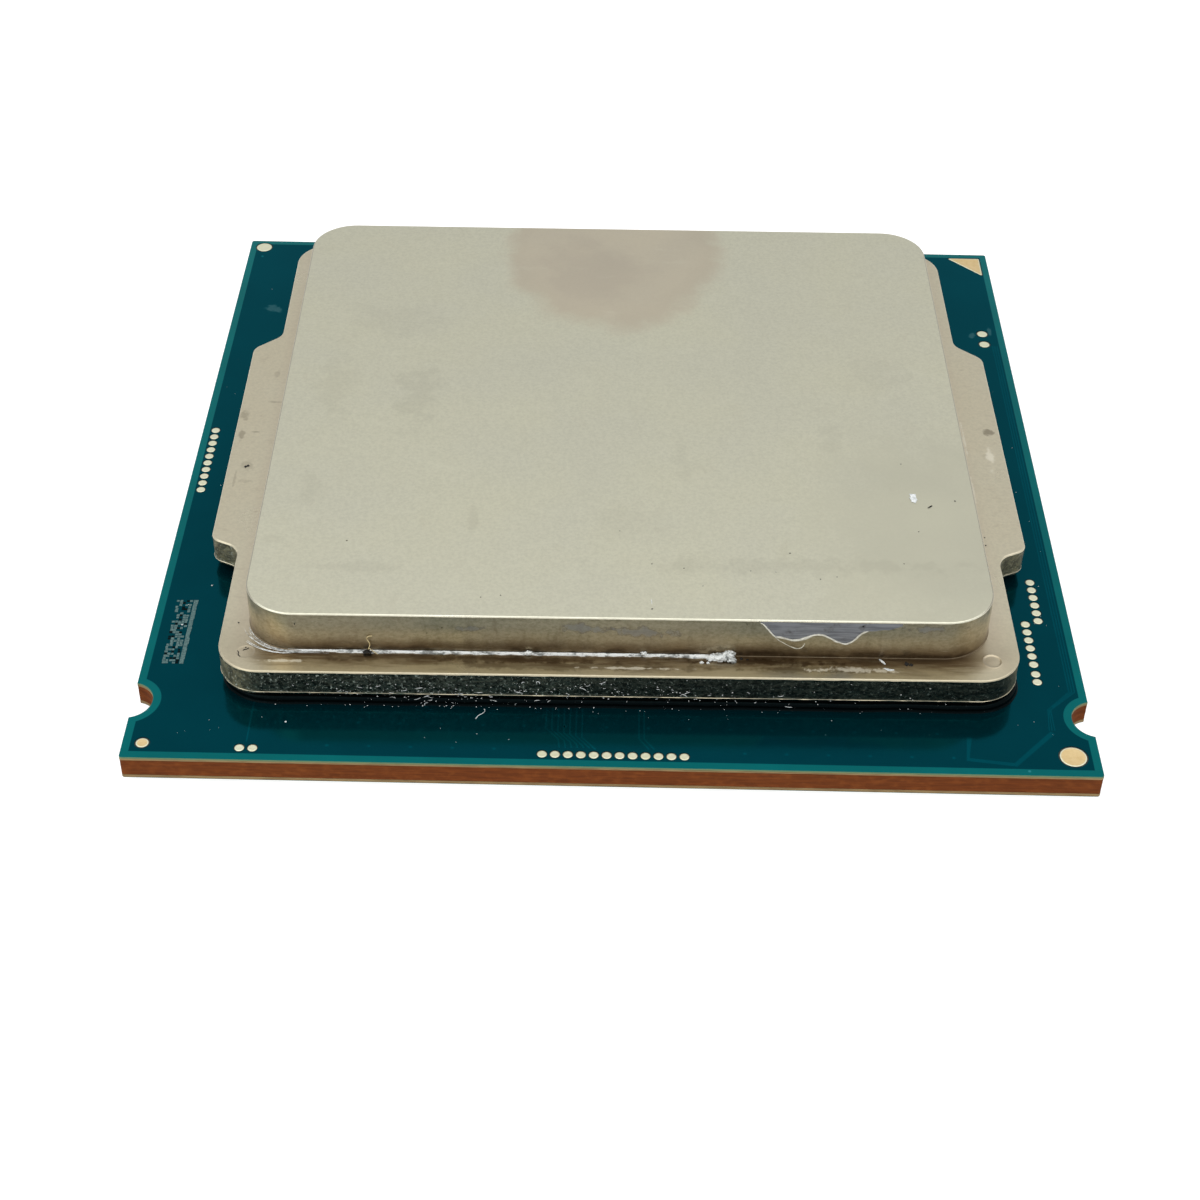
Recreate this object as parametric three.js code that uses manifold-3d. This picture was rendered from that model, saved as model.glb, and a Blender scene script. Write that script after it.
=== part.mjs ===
// A desktop processor in a land-grid package: a laminate board with contact lands underneath, a silicon die
// soldered to its top, and a stepped heat spreader glued over the die.
// Millimetres, +Z up. X runs to the right and Y to the back. The edge with the two keying notches near its
// corners is the front (-Y). The origin is at the middle of the board, level with the lowest faces, which are
// the bottoms of the land-side capacitors.

import * as THREE from 'three';
import { mergeVertices } from 'three/addons/utils/BufferGeometryUtils.js';
import Module from 'manifold-3d';

const wasm = await Module();
wasm.setup();

// ---------------------------------------------------------------- driving dimensions

// Board
const BOARD_SIDE = 37.5;
const BOARD_CORNER_RADIUS = 0.12;
const NOTCH_RADIUS = 1.0;
const NOTCH_CENTRE_OUT = 0.23; // how far outside the board's edge the notch's centre lies
const NOTCH_Y = -15.58;
const SMALLEST_RADIUS = 0.05;

// Thicknesses of the layers, which add up to the board's 1.10
const MASK_THICKNESS = 0.02;
const UPPER_BUILDUP_THICKNESS = 0.17;
const CORE_THICKNESS = 0.75;
const LOWER_BUILDUP_THICKNESS = 0.14;
const PLANE_THICKNESS = 0.03;
const PLANE_INSET = 0.6;

// Gold-plated marks and pads on the top, which lie in openings of the solder mask
const PAD_THICKNESS = 0.015;
const OPENING_CLEARANCE = 0.06;
const PIN_ONE_LEG = 1.6;
const PIN_ONE_MARGIN = 0.38;
const ROUND_PADS = [
  { name: 'front_left_fiducial', x: -17.97, y: -17.95, diameter: 0.49 },
  { name: 'front_right_pad', x: 17.71, y: -17.7, diameter: 1.04 },
  { name: 'back_left_pad', x: -18.05, y: 18.13, diameter: 0.75 },
  { name: 'right_edge_pad_back', x: 17.72, y: 11.46, diameter: 0.48 },
  { name: 'right_edge_pad_front', x: 17.72, y: 10.56, diameter: 0.48 },
];

// Contact lands: a 40 by 40 grid with a window of 22 by 18 places in the middle
const LAND_PITCH = 0.9144;
const LAND_WIDTH = 0.66;
const WINDOW_COLUMNS = 22;
const WINDOW_ROWS = 18;
const LAND_FIELD_INSET = 0.5;
const LAND_FIELD_THICKNESS = 0.015;

// Land-side capacitors
const CAPACITOR_LENGTH = 1.0;
const CAPACITOR_WIDTH = 0.5;
const CAPACITOR_HEIGHT = 0.5;
const CAPACITOR_END = 0.25; // length of each plated end
const CAPACITOR_WAIST = 0.03; // how far the bare body stands back from the ends
const CAPACITOR_COLUMNS = 8;
const CAPACITOR_ROWS = 3;
const CAPACITOR_COLUMN_PITCH = 2.2;
const CAPACITOR_ROW_PITCH = 3.6;

// Die and what joins it to the board and the heat spreader
const DIE = { x: 9.2, y: 22.4, z: 0.5 };
const BUMP_HEIGHT = 0.07;
const BUMP_INSET = 0.15;
const UNDERFILL_FOOT = 1.1;
const UNDERFILL_PROFILE = [ // the hollow fillet's slope, from its foot up
  { inset: 0, height: 0 },
  { inset: 0.66, height: 0.114 },
  { inset: 0.99, height: 0.38 },
];
const THERMAL_SOLDER_THICKNESS = 0.25;
const THERMAL_SOLDER_INSET = 0.1;

// Heat spreader, measured from its own middle. It sits a little to the back of the board's middle and is
// turned by a fraction of a degree, as a lid placed on wet sealant is.
const LID_SHIFT = { x: 0.11, y: 0.35 };
const LID_TURN_DEGREES = 0.52;
const SEALANT_THICKNESS = 0.3;
const FLANGE_TOP = 1.58; // heights are above the board's top face
const PLATEAU_TOP = 3.45;
const PLATEAU_HALF = { x: 14.68, y: 14.47 };
const PLATEAU_CORNER_RADIUS = 2.0;
const PLATEAU_EDGE_RADIUS = 0.08;
const PLATEAU_FOOT_RADIUS = 0.05;
const FLANGE_HALF = { x: 15.73, y: 15.74 };
const FLANGE_CORNER_RADIUS = 1.7;
const FLANGE_BOTTOM_RADIUS = 0.2;
const FLANGE_TOP_RADIUS = 0.06;
const EAR_HALF_WIDTH = 16.93;
const EAR_FRONT = { start: -8.7, degrees: 65, hollowRadius: 0.8, roundRadius: 0.6 };
const EAR_BACK = { start: 7.9, degrees: 48, hollowRadius: 0.8, roundRadius: 0.7 };
const CAVITY_HALF = 12.9;
const CAVITY_CORNER_RADIUS = 1.5;

// Sealant bead under the heat spreader's rim, open at the back where air escapes while it cures
const SEALANT_SETBACK = 0.1;
const SEALANT_WIDTH = 2.2;
const SEALANT_VENT = 1.8;

// Smoothness
const CORNER_STEPS = 6;
const NOTCH_STEPS = 10;
const PAD_STEPS = 20;
const SHOULDER_STEPS = 4;
const EDGE_STEPS = 3;

// ---------------------------------------------------------------- heights worked out from them

const BOARD_BOTTOM = CAPACITOR_HEIGHT;
const LOWER_BUILDUP_BOTTOM = BOARD_BOTTOM + MASK_THICKNESS;
const CORE_BOTTOM = LOWER_BUILDUP_BOTTOM + LOWER_BUILDUP_THICKNESS;
const CORE_TOP = CORE_BOTTOM + CORE_THICKNESS;
const UPPER_BUILDUP_TOP = CORE_TOP + UPPER_BUILDUP_THICKNESS;
const BOARD_TOP = UPPER_BUILDUP_TOP + MASK_THICKNESS;
const DIE_TOP = BUMP_HEIGHT + DIE.z;
const CAVITY_TOP = DIE_TOP + THERMAL_SOLDER_THICKNESS;

// ---------------------------------------------------------------- outlines

const radians = THREE.MathUtils.degToRad;

function arc(x, y, radius, fromDegrees, toDegrees, steps) {
  const points = [];
  for (let i = 0; i <= steps; i++) {
    const angle = radians(fromDegrees + ((toDegrees - fromDegrees) * i) / steps);
    points.push(new THREE.Vector2(x + radius * Math.cos(angle), y + radius * Math.sin(angle)));
  }
  return points;
}

function circle(x, y, radius) {
  return arc(x, y, radius, 0, 360 - 360 / PAD_STEPS, PAD_STEPS - 1);
}

function rectangle(halfX, halfY) {
  return [
    new THREE.Vector2(-halfX, -halfY),
    new THREE.Vector2(halfX, -halfY),
    new THREE.Vector2(halfX, halfY),
    new THREE.Vector2(-halfX, halfY),
  ];
}

// The four corner arcs of a round-cornered rectangle, counter-clockwise from the front right.
function cornerArcs(halfX, halfY, radius) {
  const x = halfX - radius;
  const y = halfY - radius;
  return [
    arc(x, -y, radius, 270, 360, CORNER_STEPS),
    arc(x, y, radius, 0, 90, CORNER_STEPS),
    arc(-x, y, radius, 90, 180, CORNER_STEPS),
    arc(-x, -y, radius, 180, 270, CORNER_STEPS),
  ];
}

function roundedRectangle(half, radius, inset = 0) {
  return cornerArcs(half.x - inset, half.y - inset, radius - inset).flat();
}

// The board's outline, moved inwards by inset on every side, notches included.
function boardOutline(inset = 0) {
  const half = BOARD_SIDE / 2;
  const cornerRadius = Math.max(BOARD_CORNER_RADIUS - inset, SMALLEST_RADIUS);
  const corners = cornerArcs(half - inset, half - inset, cornerRadius);
  const radius = NOTCH_RADIUS + inset;
  const x = half + NOTCH_CENTRE_OUT;
  const reach = THREE.MathUtils.radToDeg(Math.acos((NOTCH_CENTRE_OUT + inset) / radius));
  const rightNotch = arc(x, NOTCH_Y, radius, 180 + reach, 180 - reach, NOTCH_STEPS);
  const leftNotch = arc(-x, NOTCH_Y, radius, reach, -reach, NOTCH_STEPS);
  return [corners[0], rightNotch, corners[1], corners[2], leftNotch, corners[3]].flat();
}

// The S-shaped shoulder from the flange's side out to an ear: a hollow bend, a straight slope, a round bend.
// It is drawn for the right side and runs towards +Y.
function shoulder({ start, degrees, hollowRadius, roundRadius }, inset) {
  const turn = radians(degrees);
  const bothRadii = hollowRadius + roundRadius;
  const reach = EAR_HALF_WIDTH - FLANGE_HALF.x;
  const slope = (reach - bothRadii * (1 - Math.cos(turn))) / Math.sin(turn);
  const end = start + bothRadii * Math.sin(turn) + slope * Math.cos(turn);
  const hollowX = FLANGE_HALF.x + hollowRadius;
  const roundX = EAR_HALF_WIDTH - roundRadius;
  return [
    ...arc(hollowX, start, hollowRadius + inset, 180, 180 - degrees, SHOULDER_STEPS),
    ...arc(roundX, end, roundRadius - inset, -degrees, 0, SHOULDER_STEPS),
  ];
}

function mirrored(points, x, y) {
  return points.map((point) => new THREE.Vector2(point.x * x, point.y * y)).reverse();
}

// The flange with an ear on each side, moved inwards by inset.
function flangeOutline(inset = 0) {
  const backShoulder = shoulder({ ...EAR_BACK, start: -EAR_BACK.start }, inset);
  const rightSide = [...shoulder(EAR_FRONT, inset), ...mirrored(backShoulder, 1, -1)];
  const corners = cornerArcs(FLANGE_HALF.x - inset, FLANGE_HALF.y - inset, FLANGE_CORNER_RADIUS - inset);
  return [corners[0], rightSide, corners[1], corners[2], mirrored(rightSide, -1, 1), corners[3]].flat();
}

// ---------------------------------------------------------------- solids

function prism(outline, bottom, thickness, holes = []) {
  const shape = new THREE.Shape(outline);
  shape.holes = holes.map((hole) => new THREE.Path(hole));
  const geometry = new THREE.ExtrudeGeometry(shape, { depth: thickness, bevelEnabled: false });
  return geometry.translate(0, 0, bottom);
}

function box(sizeX, sizeY, sizeZ, bottom) {
  return new THREE.BoxGeometry(sizeX, sizeY, sizeZ).translate(0, 0, bottom + sizeZ / 2);
}

// A closed skin through outlines of equal length, one for each height, with flat ends.
function loft(levels) {
  const count = levels[0].outline.length;
  const positions = levels.flatMap(({ z, outline }) => outline.flatMap((point) => [point.x, point.y, z]));
  const indices = [];
  for (let level = 0; level < levels.length - 1; level++) {
    for (let i = 0; i < count; i++) {
      const here = level * count + i;
      const next = level * count + ((i + 1) % count);
      indices.push(here, next, next + count, here, next + count, here + count);
    }
  }
  const lastLevel = (levels.length - 1) * count;
  for (const [a, b, c] of THREE.ShapeUtils.triangulateShape(levels[0].outline, [])) indices.push(c, b, a);
  for (const triangle of THREE.ShapeUtils.triangulateShape(levels.at(-1).outline, [])) {
    indices.push(...triangle.map((i) => i + lastLevel));
  }
  const geometry = new THREE.BufferGeometry();
  geometry.setAttribute('position', new THREE.Float32BufferAttribute(positions, 3));
  geometry.setIndex(indices);
  return geometry;
}

function toManifold(geometry) {
  const bare = geometry.clone();
  bare.deleteAttribute('normal');
  bare.deleteAttribute('uv');
  const merged = mergeVertices(bare);
  const vertProperties = new Float32Array(merged.attributes.position.array);
  const triVerts = new Uint32Array(merged.index.array);
  return new wasm.Manifold(new wasm.Mesh({ numProp: 3, vertProperties, triVerts }));
}

function toGeometry(manifold) {
  const mesh = manifold.getMesh();
  const geometry = new THREE.BufferGeometry();
  geometry.setAttribute('position', new THREE.BufferAttribute(mesh.vertProperties, 3));
  geometry.setIndex(new THREE.BufferAttribute(mesh.triVerts, 1));
  return geometry;
}

function subtract(geometry, ...tools) {
  return toGeometry(tools.reduce((solid, tool) => solid.subtract(toManifold(tool)), toManifold(geometry)));
}

function join(first, second) {
  return toGeometry(toManifold(first).add(toManifold(second)));
}

// ---------------------------------------------------------------- board

function copperPlane(bottom) {
  return prism(boardOutline(PLANE_INSET), bottom, PLANE_THICKNESS);
}

// Each build-up has a pocket in the face that meets the core, and a copper plane fills it.
function upperBuildup() {
  return subtract(prism(boardOutline(), CORE_TOP, UPPER_BUILDUP_THICKNESS), copperPlane(CORE_TOP));
}

function lowerBuildup() {
  const plate = prism(boardOutline(), LOWER_BUILDUP_BOTTOM, LOWER_BUILDUP_THICKNESS);
  return subtract(plate, copperPlane(CORE_BOTTOM - PLANE_THICKNESS));
}

// The pin-1 mark: a right-angled triangle in the back right corner. grow moves its sides outwards.
function pinOneOutline(grow = 0) {
  const corner = BOARD_SIDE / 2 - PIN_ONE_MARGIN + grow;
  const leg = PIN_ONE_LEG + grow * (2 + Math.SQRT2);
  return [
    new THREE.Vector2(corner, corner),
    new THREE.Vector2(corner - leg, corner),
    new THREE.Vector2(corner, corner - leg),
  ];
}

function roundPadOutline({ x, y, diameter }, grow = 0) {
  return circle(x, y, diameter / 2 + grow);
}

function topSolderMask() {
  const openings = ROUND_PADS.map((pad) => roundPadOutline(pad, OPENING_CLEARANCE));
  openings.push(pinOneOutline(OPENING_CLEARANCE));
  return prism(boardOutline(), UPPER_BUILDUP_TOP, MASK_THICKNESS, openings);
}

// One plate that stands for the whole field of lands, with the window that leaves room for the capacitors.
function landField() {
  const windowHalfX = ((WINDOW_COLUMNS + 1) * LAND_PITCH - LAND_WIDTH) / 2;
  const windowHalfY = ((WINDOW_ROWS + 1) * LAND_PITCH - LAND_WIDTH) / 2;
  const window = rectangle(windowHalfX, windowHalfY);
  const bottom = BOARD_BOTTOM - LAND_FIELD_THICKNESS;
  return prism(boardOutline(LAND_FIELD_INSET), bottom, LAND_FIELD_THICKNESS, [window]);
}

// A ceramic chip capacitor lying along Y, its plated ends a little fuller than its body.
function capacitor() {
  const halfWidth = CAPACITOR_WIDTH / 2;
  const waist = halfWidth - CAPACITOR_WAIST;
  const halfLength = CAPACITOR_LENGTH / 2;
  const bodyEnd = halfLength - CAPACITOR_END;
  const rightSide = [
    new THREE.Vector2(halfWidth, -halfLength),
    new THREE.Vector2(halfWidth, -bodyEnd),
    new THREE.Vector2(waist, -bodyEnd),
    new THREE.Vector2(waist, bodyEnd),
    new THREE.Vector2(halfWidth, bodyEnd),
    new THREE.Vector2(halfWidth, halfLength),
  ];
  return prism([...rightSide, ...mirrored(rightSide, -1, 1)], 0, CAPACITOR_HEIGHT);
}

// ---------------------------------------------------------------- die, heights above the board's top face

function dieBlock() {
  return box(DIE.x, DIE.y, DIE.z, BUMP_HEIGHT);
}

function bumpLayer() {
  return box(DIE.x - 2 * BUMP_INSET, DIE.y - 2 * BUMP_INSET, BUMP_HEIGHT, 0);
}

// The resin fillet round the die's foot, which also closes the edge of the bump layer.
function underfill() {
  const foot = { x: DIE.x / 2 + UNDERFILL_FOOT, y: DIE.y / 2 + UNDERFILL_FOOT };
  const levels = UNDERFILL_PROFILE.map(({ inset, height }) => ({
    z: height,
    outline: roundedRectangle(foot, UNDERFILL_FOOT, inset),
  }));
  return subtract(loft(levels), dieBlock(), bumpLayer());
}

function thermalSolder() {
  const sizeX = DIE.x - 2 * THERMAL_SOLDER_INSET;
  const sizeY = DIE.y - 2 * THERMAL_SOLDER_INSET;
  return box(sizeX, sizeY, THERMAL_SOLDER_THICKNESS, DIE_TOP);
}

// ---------------------------------------------------------------- heat spreader, heights as above

// Rises and insets round a quarter circle. The inset is the full radius at first and none at the last step.
function quarterRound(radius) {
  return Array.from({ length: EDGE_STEPS + 1 }, (_, i) => {
    const angle = radians((90 * i) / EDGE_STEPS);
    return { inset: radius * (1 - Math.sin(angle)), rise: radius * (1 - Math.cos(angle)) };
  });
}

function flange() {
  const bottomEdge = quarterRound(FLANGE_BOTTOM_RADIUS).map(({ inset, rise }) => ({
    z: SEALANT_THICKNESS + rise,
    outline: flangeOutline(inset),
  }));
  const topEdge = quarterRound(FLANGE_TOP_RADIUS).reverse().map(({ inset, rise }) => ({
    z: FLANGE_TOP - rise,
    outline: flangeOutline(inset),
  }));
  return loft([...bottomEdge, ...topEdge]);
}

function plateau() {
  const outline = (inset) => roundedRectangle(PLATEAU_HALF, PLATEAU_CORNER_RADIUS, inset);
  const foot = quarterRound(PLATEAU_FOOT_RADIUS).map(({ inset, rise }) => ({
    z: FLANGE_TOP + PLATEAU_FOOT_RADIUS - inset,
    outline: outline(rise - PLATEAU_FOOT_RADIUS),
  }));
  const topEdge = quarterRound(PLATEAU_EDGE_RADIUS).reverse().map(({ inset, rise }) => ({
    z: PLATEAU_TOP - rise,
    outline: outline(inset),
  }));
  const buried = { z: (SEALANT_THICKNESS + FLANGE_TOP) / 2, outline: outline(-PLATEAU_FOOT_RADIUS) };
  return loft([buried, ...foot, ...topEdge]);
}

function heatSpreader() {
  const cavity = roundedRectangle({ x: CAVITY_HALF, y: CAVITY_HALF }, CAVITY_CORNER_RADIUS);
  const belowRim = SEALANT_THICKNESS / 2;
  return subtract(join(flange(), plateau()), prism(cavity, belowRim, CAVITY_TOP - belowRim));
}

function sealantBead() {
  const outer = { x: FLANGE_HALF.x - SEALANT_SETBACK, y: FLANGE_HALF.y - SEALANT_SETBACK };
  const radius = FLANGE_CORNER_RADIUS - SEALANT_SETBACK;
  const inner = { x: outer.x - SEALANT_WIDTH, y: outer.y - SEALANT_WIDTH };
  const hole = roundedRectangle(inner, CAVITY_CORNER_RADIUS);
  const ring = prism(roundedRectangle(outer, radius), 0, SEALANT_THICKNESS, [hole]);
  const vent = box(SEALANT_VENT, 2 * SEALANT_WIDTH, 3 * SEALANT_THICKNESS, -SEALANT_THICKNESS);
  return subtract(ring, vent.translate(0, FLANGE_HALF.y - SEALANT_WIDTH / 2, 0));
}

// ---------------------------------------------------------------- materials

function material(color, roughness, metalness = 0) {
  return new THREE.MeshStandardMaterial({ color, roughness, metalness });
}

const MATERIALS = {
  nickel: material(0xb8b4a0, 0.42, 1),
  sealant: material(0x080808, 0.35),
  solderMask: material(0x04424c, 0.3),
  resin: material(0x96784f, 0.6),
  laminate: material(0x733e21, 0.65),
  copper: material(0xb87333, 0.4, 1),
  gold: material(0xe8cf9a, 0.35, 1),
  silicon: material(0x34383c, 0.2, 0.4),
  solder: material(0xa8aaad, 0.4, 1),
  underfill: material(0x2c2a24, 0.4),
  ceramic: material(0x8a6f57, 0.55),
};

// ---------------------------------------------------------------- assembly

const processor = new THREE.Group();
const dieGroup = new THREE.Group();
dieGroup.position.z = BOARD_TOP;
const lidGroup = new THREE.Group();
lidGroup.position.set(LID_SHIFT.x, LID_SHIFT.y, BOARD_TOP);
lidGroup.rotation.z = radians(LID_TURN_DEGREES);
processor.add(dieGroup, lidGroup);

function addPiece(group, name, geometry, finish) {
  const mesh = new THREE.Mesh(geometry, finish);
  mesh.name = name;
  group.add(mesh);
  return mesh;
}

function addBoard() {
  const lowerMask = prism(boardOutline(), BOARD_BOTTOM, MASK_THICKNESS);
  const core = prism(boardOutline(), CORE_BOTTOM, CORE_THICKNESS);
  addPiece(processor, 'land_field', landField(), MATERIALS.gold);
  addPiece(processor, 'bottom_solder_mask', lowerMask, MATERIALS.solderMask);
  addPiece(processor, 'lower_buildup', lowerBuildup(), MATERIALS.resin);
  addPiece(processor, 'lower_copper_plane', copperPlane(CORE_BOTTOM - PLANE_THICKNESS), MATERIALS.copper);
  addPiece(processor, 'core_laminate', core, MATERIALS.laminate);
  addPiece(processor, 'upper_copper_plane', copperPlane(CORE_TOP), MATERIALS.copper);
  addPiece(processor, 'upper_buildup', upperBuildup(), MATERIALS.resin);
  addPiece(processor, 'top_solder_mask', topSolderMask(), MATERIALS.solderMask);
}

function addTopMarks() {
  const bottom = UPPER_BUILDUP_TOP;
  addPiece(processor, 'pin_one_triangle', prism(pinOneOutline(), bottom, PAD_THICKNESS), MATERIALS.gold);
  for (const pad of ROUND_PADS) {
    addPiece(processor, pad.name, prism(roundPadOutline(pad), bottom, PAD_THICKNESS), MATERIALS.gold);
  }
}

function addCapacitors() {
  for (let row = 0; row < CAPACITOR_ROWS; row++) {
    for (let column = 0; column < CAPACITOR_COLUMNS; column++) {
      const number = String(row * CAPACITOR_COLUMNS + column + 1).padStart(2, '0');
      const piece = addPiece(processor, `land_side_capacitor_${number}`, capacitor(), MATERIALS.ceramic);
      piece.position.x = (column - (CAPACITOR_COLUMNS - 1) / 2) * CAPACITOR_COLUMN_PITCH;
      piece.position.y = (row - (CAPACITOR_ROWS - 1) / 2) * CAPACITOR_ROW_PITCH;
    }
  }
}

function addDie() {
  addPiece(dieGroup, 'solder_bumps', bumpLayer(), MATERIALS.solder);
  addPiece(dieGroup, 'silicon_die', dieBlock(), MATERIALS.silicon);
  addPiece(dieGroup, 'underfill', underfill(), MATERIALS.underfill);
  addPiece(dieGroup, 'thermal_solder', thermalSolder(), MATERIALS.solder);
}

function addLid() {
  addPiece(lidGroup, 'lid_sealant', sealantBead(), MATERIALS.sealant);
  addPiece(lidGroup, 'heat_spreader', heatSpreader(), MATERIALS.nickel);
}

addBoard();
addTopMarks();
addCapacitors();
addDie();
addLid();

export default processor;
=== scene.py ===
"""A desktop processor in a land-grid package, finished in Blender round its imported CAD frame.

Shapes are worked out in millimetres and turned into metres when a mesh is made. X runs to the right and Y to
the back; the two keying notches are near the front corners. Heights come from the frame.
"""
import math
import random

import bpy
from mathutils import Matrix, Vector, noise
from mathutils.geometry import delaunay_2d_cdt


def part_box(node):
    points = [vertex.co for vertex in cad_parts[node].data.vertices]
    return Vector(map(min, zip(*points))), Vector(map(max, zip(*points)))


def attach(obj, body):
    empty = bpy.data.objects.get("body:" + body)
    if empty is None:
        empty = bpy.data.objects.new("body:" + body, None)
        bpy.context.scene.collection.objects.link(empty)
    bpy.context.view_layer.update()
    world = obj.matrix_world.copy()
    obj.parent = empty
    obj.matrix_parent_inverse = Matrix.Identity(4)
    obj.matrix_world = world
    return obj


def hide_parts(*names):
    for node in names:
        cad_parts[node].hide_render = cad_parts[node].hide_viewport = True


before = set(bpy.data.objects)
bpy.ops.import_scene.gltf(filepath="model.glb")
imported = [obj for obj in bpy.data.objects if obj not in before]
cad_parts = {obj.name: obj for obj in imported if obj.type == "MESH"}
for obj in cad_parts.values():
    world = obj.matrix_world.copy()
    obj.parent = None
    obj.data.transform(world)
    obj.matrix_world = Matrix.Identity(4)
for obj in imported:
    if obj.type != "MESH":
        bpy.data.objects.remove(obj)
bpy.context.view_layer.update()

MM = 0.001
UP = Vector((0, 0, 1))
INSIDE_WITH_HOLES = 2  # the kind of answer asked of the triangulation
MIX_FIRST, MIX_SECOND, MIX_RESULT = 6, 7, 2  # the colour sockets of a mix node, which share their names


def low(node):
    """The lowest corner of a CAD node."""
    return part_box(node)[0] / MM


def high(node):
    """The highest corner of a CAD node."""
    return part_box(node)[1] / MM


# ---------------------------------------------------------------- sizes, in millimetres

BOARD_HALF = high("top_solder_mask").x
BOARD_TOP = high("top_solder_mask").z
BUILDUP_TOP = high("upper_buildup").z
MASK_BOTTOM_TOP = low("lower_buildup").z
BOARD_BOTTOM = low("bottom_solder_mask").z
LAND_BOTTOM = low("land_field").z
LID_TOP = high("heat_spreader").z
LID_BOTTOM = low("heat_spreader").z

BOARD_CORNER_RADIUS = 0.12
NOTCH_RADIUS = 1.0
NOTCH_CENTRE_OUT = 0.23
NOTCH_Y = -15.58
BORDER = 0.33  # the strip along the edge with no copper under the lacquer

PAD_DIAMETER = 0.365
PLATING = 0.018
CLEARANCE = 0.035  # between a pad and its opening in the lacquer
TRACE_HEIGHT = 0.004
VIA_RADIUS = 0.07

LAND_PITCH = 0.9144
LAND_PLACES = 40
LAND_DIAMETER = 0.62
WINDOW = (22, 18)  # the places left out in the middle, in X and Y
NOTCH_ROWS = (-15.09, -16.0)  # the rows whose last place at each side makes way for the notch

# The heat spreader, in its own frame: its middle is LID_SHIFT from the board's and it is turned a little
LID_SHIFT = (0.11, 0.35)
LID_TURN = math.radians(0.52)
LID_PLACE = Matrix.Translation(Vector((*LID_SHIFT, 0)) * MM) @ Matrix.Rotation(LID_TURN, 4, "Z")
PLATEAU_HALF = (14.68, 14.47)
PLATEAU_FRONT = -PLATEAU_HALF[1]
PLATEAU_CORNER_RADIUS = 2.0
PLATEAU_EDGE_RADIUS = 0.05
PLATEAU_FOOT_RADIUS = 0.03
FLANGE_TOP = BOARD_TOP + 1.58
FLANGE_HALF = (15.73, 15.74)
FLANGE_CORNER_RADIUS = 1.7
FLANGE_BOTTOM_RADIUS = 0.2
FLANGE_TOP_RADIUS = 0.06
EAR_HALF_WIDTH = 16.93
EAR_FRONT = dict(start=-8.7, degrees=65, hollow=0.8, rounding=0.6)
EAR_BACK = dict(start=-7.9, degrees=48, hollow=0.8, rounding=0.7)
CAVITY_HALF = 12.9
CAVITY_CORNER_RADIUS = 1.5
CAVITY_DEPTH = 0.52
BURR = ((0.016, -0.006, 0.6), (0.03, 0.008, 1.5), (0.0, 0.02, 0.0))  # the shear's lip: reach, rise and tear
RIM = 0.03  # a strip inside each rounded edge that carries its shading over to the flat face
DIMPLES = ((14.6, -14.55, 0.016), (-14.6, -14.6, 0.004))  # press marks in the flange's top: place and depth
DIMPLE_PROFILE = ((0.44, 0.0), (0.41, 0.25), (0.38, 0.6), (0.35, 0.25),
                  (0.32, -0.75), (0.28, -1.0), (0.18, -0.75))  # radius and share of that depth

SEALANT_GAP_HALF = 0.9  # half the width of the vent left open at the back
BEAD_START, BEAD_END = -13.0, 4.2  # how far the dried paste runs along the front wall, in X
FILM_START, FILM_END = 5.42, 10.92  # and the film wiped up the wall

# ---------------------------------------------------------------- outlines


def at_angle(x, y, radius, degrees):
    angle = math.radians(degrees)
    return x + radius * math.cos(angle), y + radius * math.sin(angle)


def arc(x, y, radius, start, end, steps):
    return [at_angle(x, y, radius, start + (end - start) * i / steps) for i in range(steps + 1)]


def circle(x, y, radius, steps=24):
    return arc(x, y, radius, 0, 360 - 360 / steps, steps - 1)


def corner_arcs(half_x, half_y, radius, steps):
    """The four corners of a rounded rectangle, counter-clockwise from the front right one."""
    x, y = half_x - radius, half_y - radius
    corners = ((x, -y, 270), (x, y, 0), (-x, y, 90), (-x, -y, 180))
    return [arc(cx, cy, radius, start, start + 90, steps) for cx, cy, start in corners]


def rounded_rectangle(half_x, half_y, radius, steps=16):
    return sum(corner_arcs(half_x, half_y, radius, steps), [])


def board_outline(inset=0.0):
    """The board's outline, moved inwards by inset on every side, notches included."""
    radius = NOTCH_RADIUS + inset
    x = BOARD_HALF + NOTCH_CENTRE_OUT
    reach = math.degrees(math.acos((NOTCH_CENTRE_OUT + inset) / radius))
    corner = max(BOARD_CORNER_RADIUS - inset, 0.05)
    corners = corner_arcs(BOARD_HALF - inset, BOARD_HALF - inset, corner, 8)
    right = arc(x, NOTCH_Y, radius, 180 + reach, 180 - reach, 40)
    left = arc(-x, NOTCH_Y, radius, reach, -reach, 40)
    return corners[0] + right + corners[1] + corners[2] + left + corners[3]


def mirrored(points, x, y):
    """The mirror image in each axis whose sign is -1, reversed so that it still runs the same way round."""
    return [(px * x, py * y) for px, py in reversed(points)]


def shoulder(start, degrees, hollow, rounding):
    """From the flange's side out to an ear: a hollow bend, a straight slope and a round bend."""
    turn = math.radians(degrees)
    radii = hollow + rounding
    reach = EAR_HALF_WIDTH - FLANGE_HALF[0]
    slope = (reach - radii * (1 - math.cos(turn))) / math.sin(turn)
    end = start + radii * math.sin(turn) + slope * math.cos(turn)
    inner = arc(FLANGE_HALF[0] + hollow, start, hollow, 180, 180 - degrees, 10)
    return inner + arc(EAR_HALF_WIDTH - rounding, end, rounding, -degrees, 0, 10)


def flange_outline():
    """The flange's outline, with an ear at each side."""
    right = shoulder(**EAR_FRONT) + mirrored(shoulder(**EAR_BACK), 1, -1)
    corners = corner_arcs(*FLANGE_HALF, FLANGE_CORNER_RADIUS, 16)
    return corners[0] + right + corners[1] + corners[2] + mirrored(right, -1, 1) + corners[3]


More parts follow.
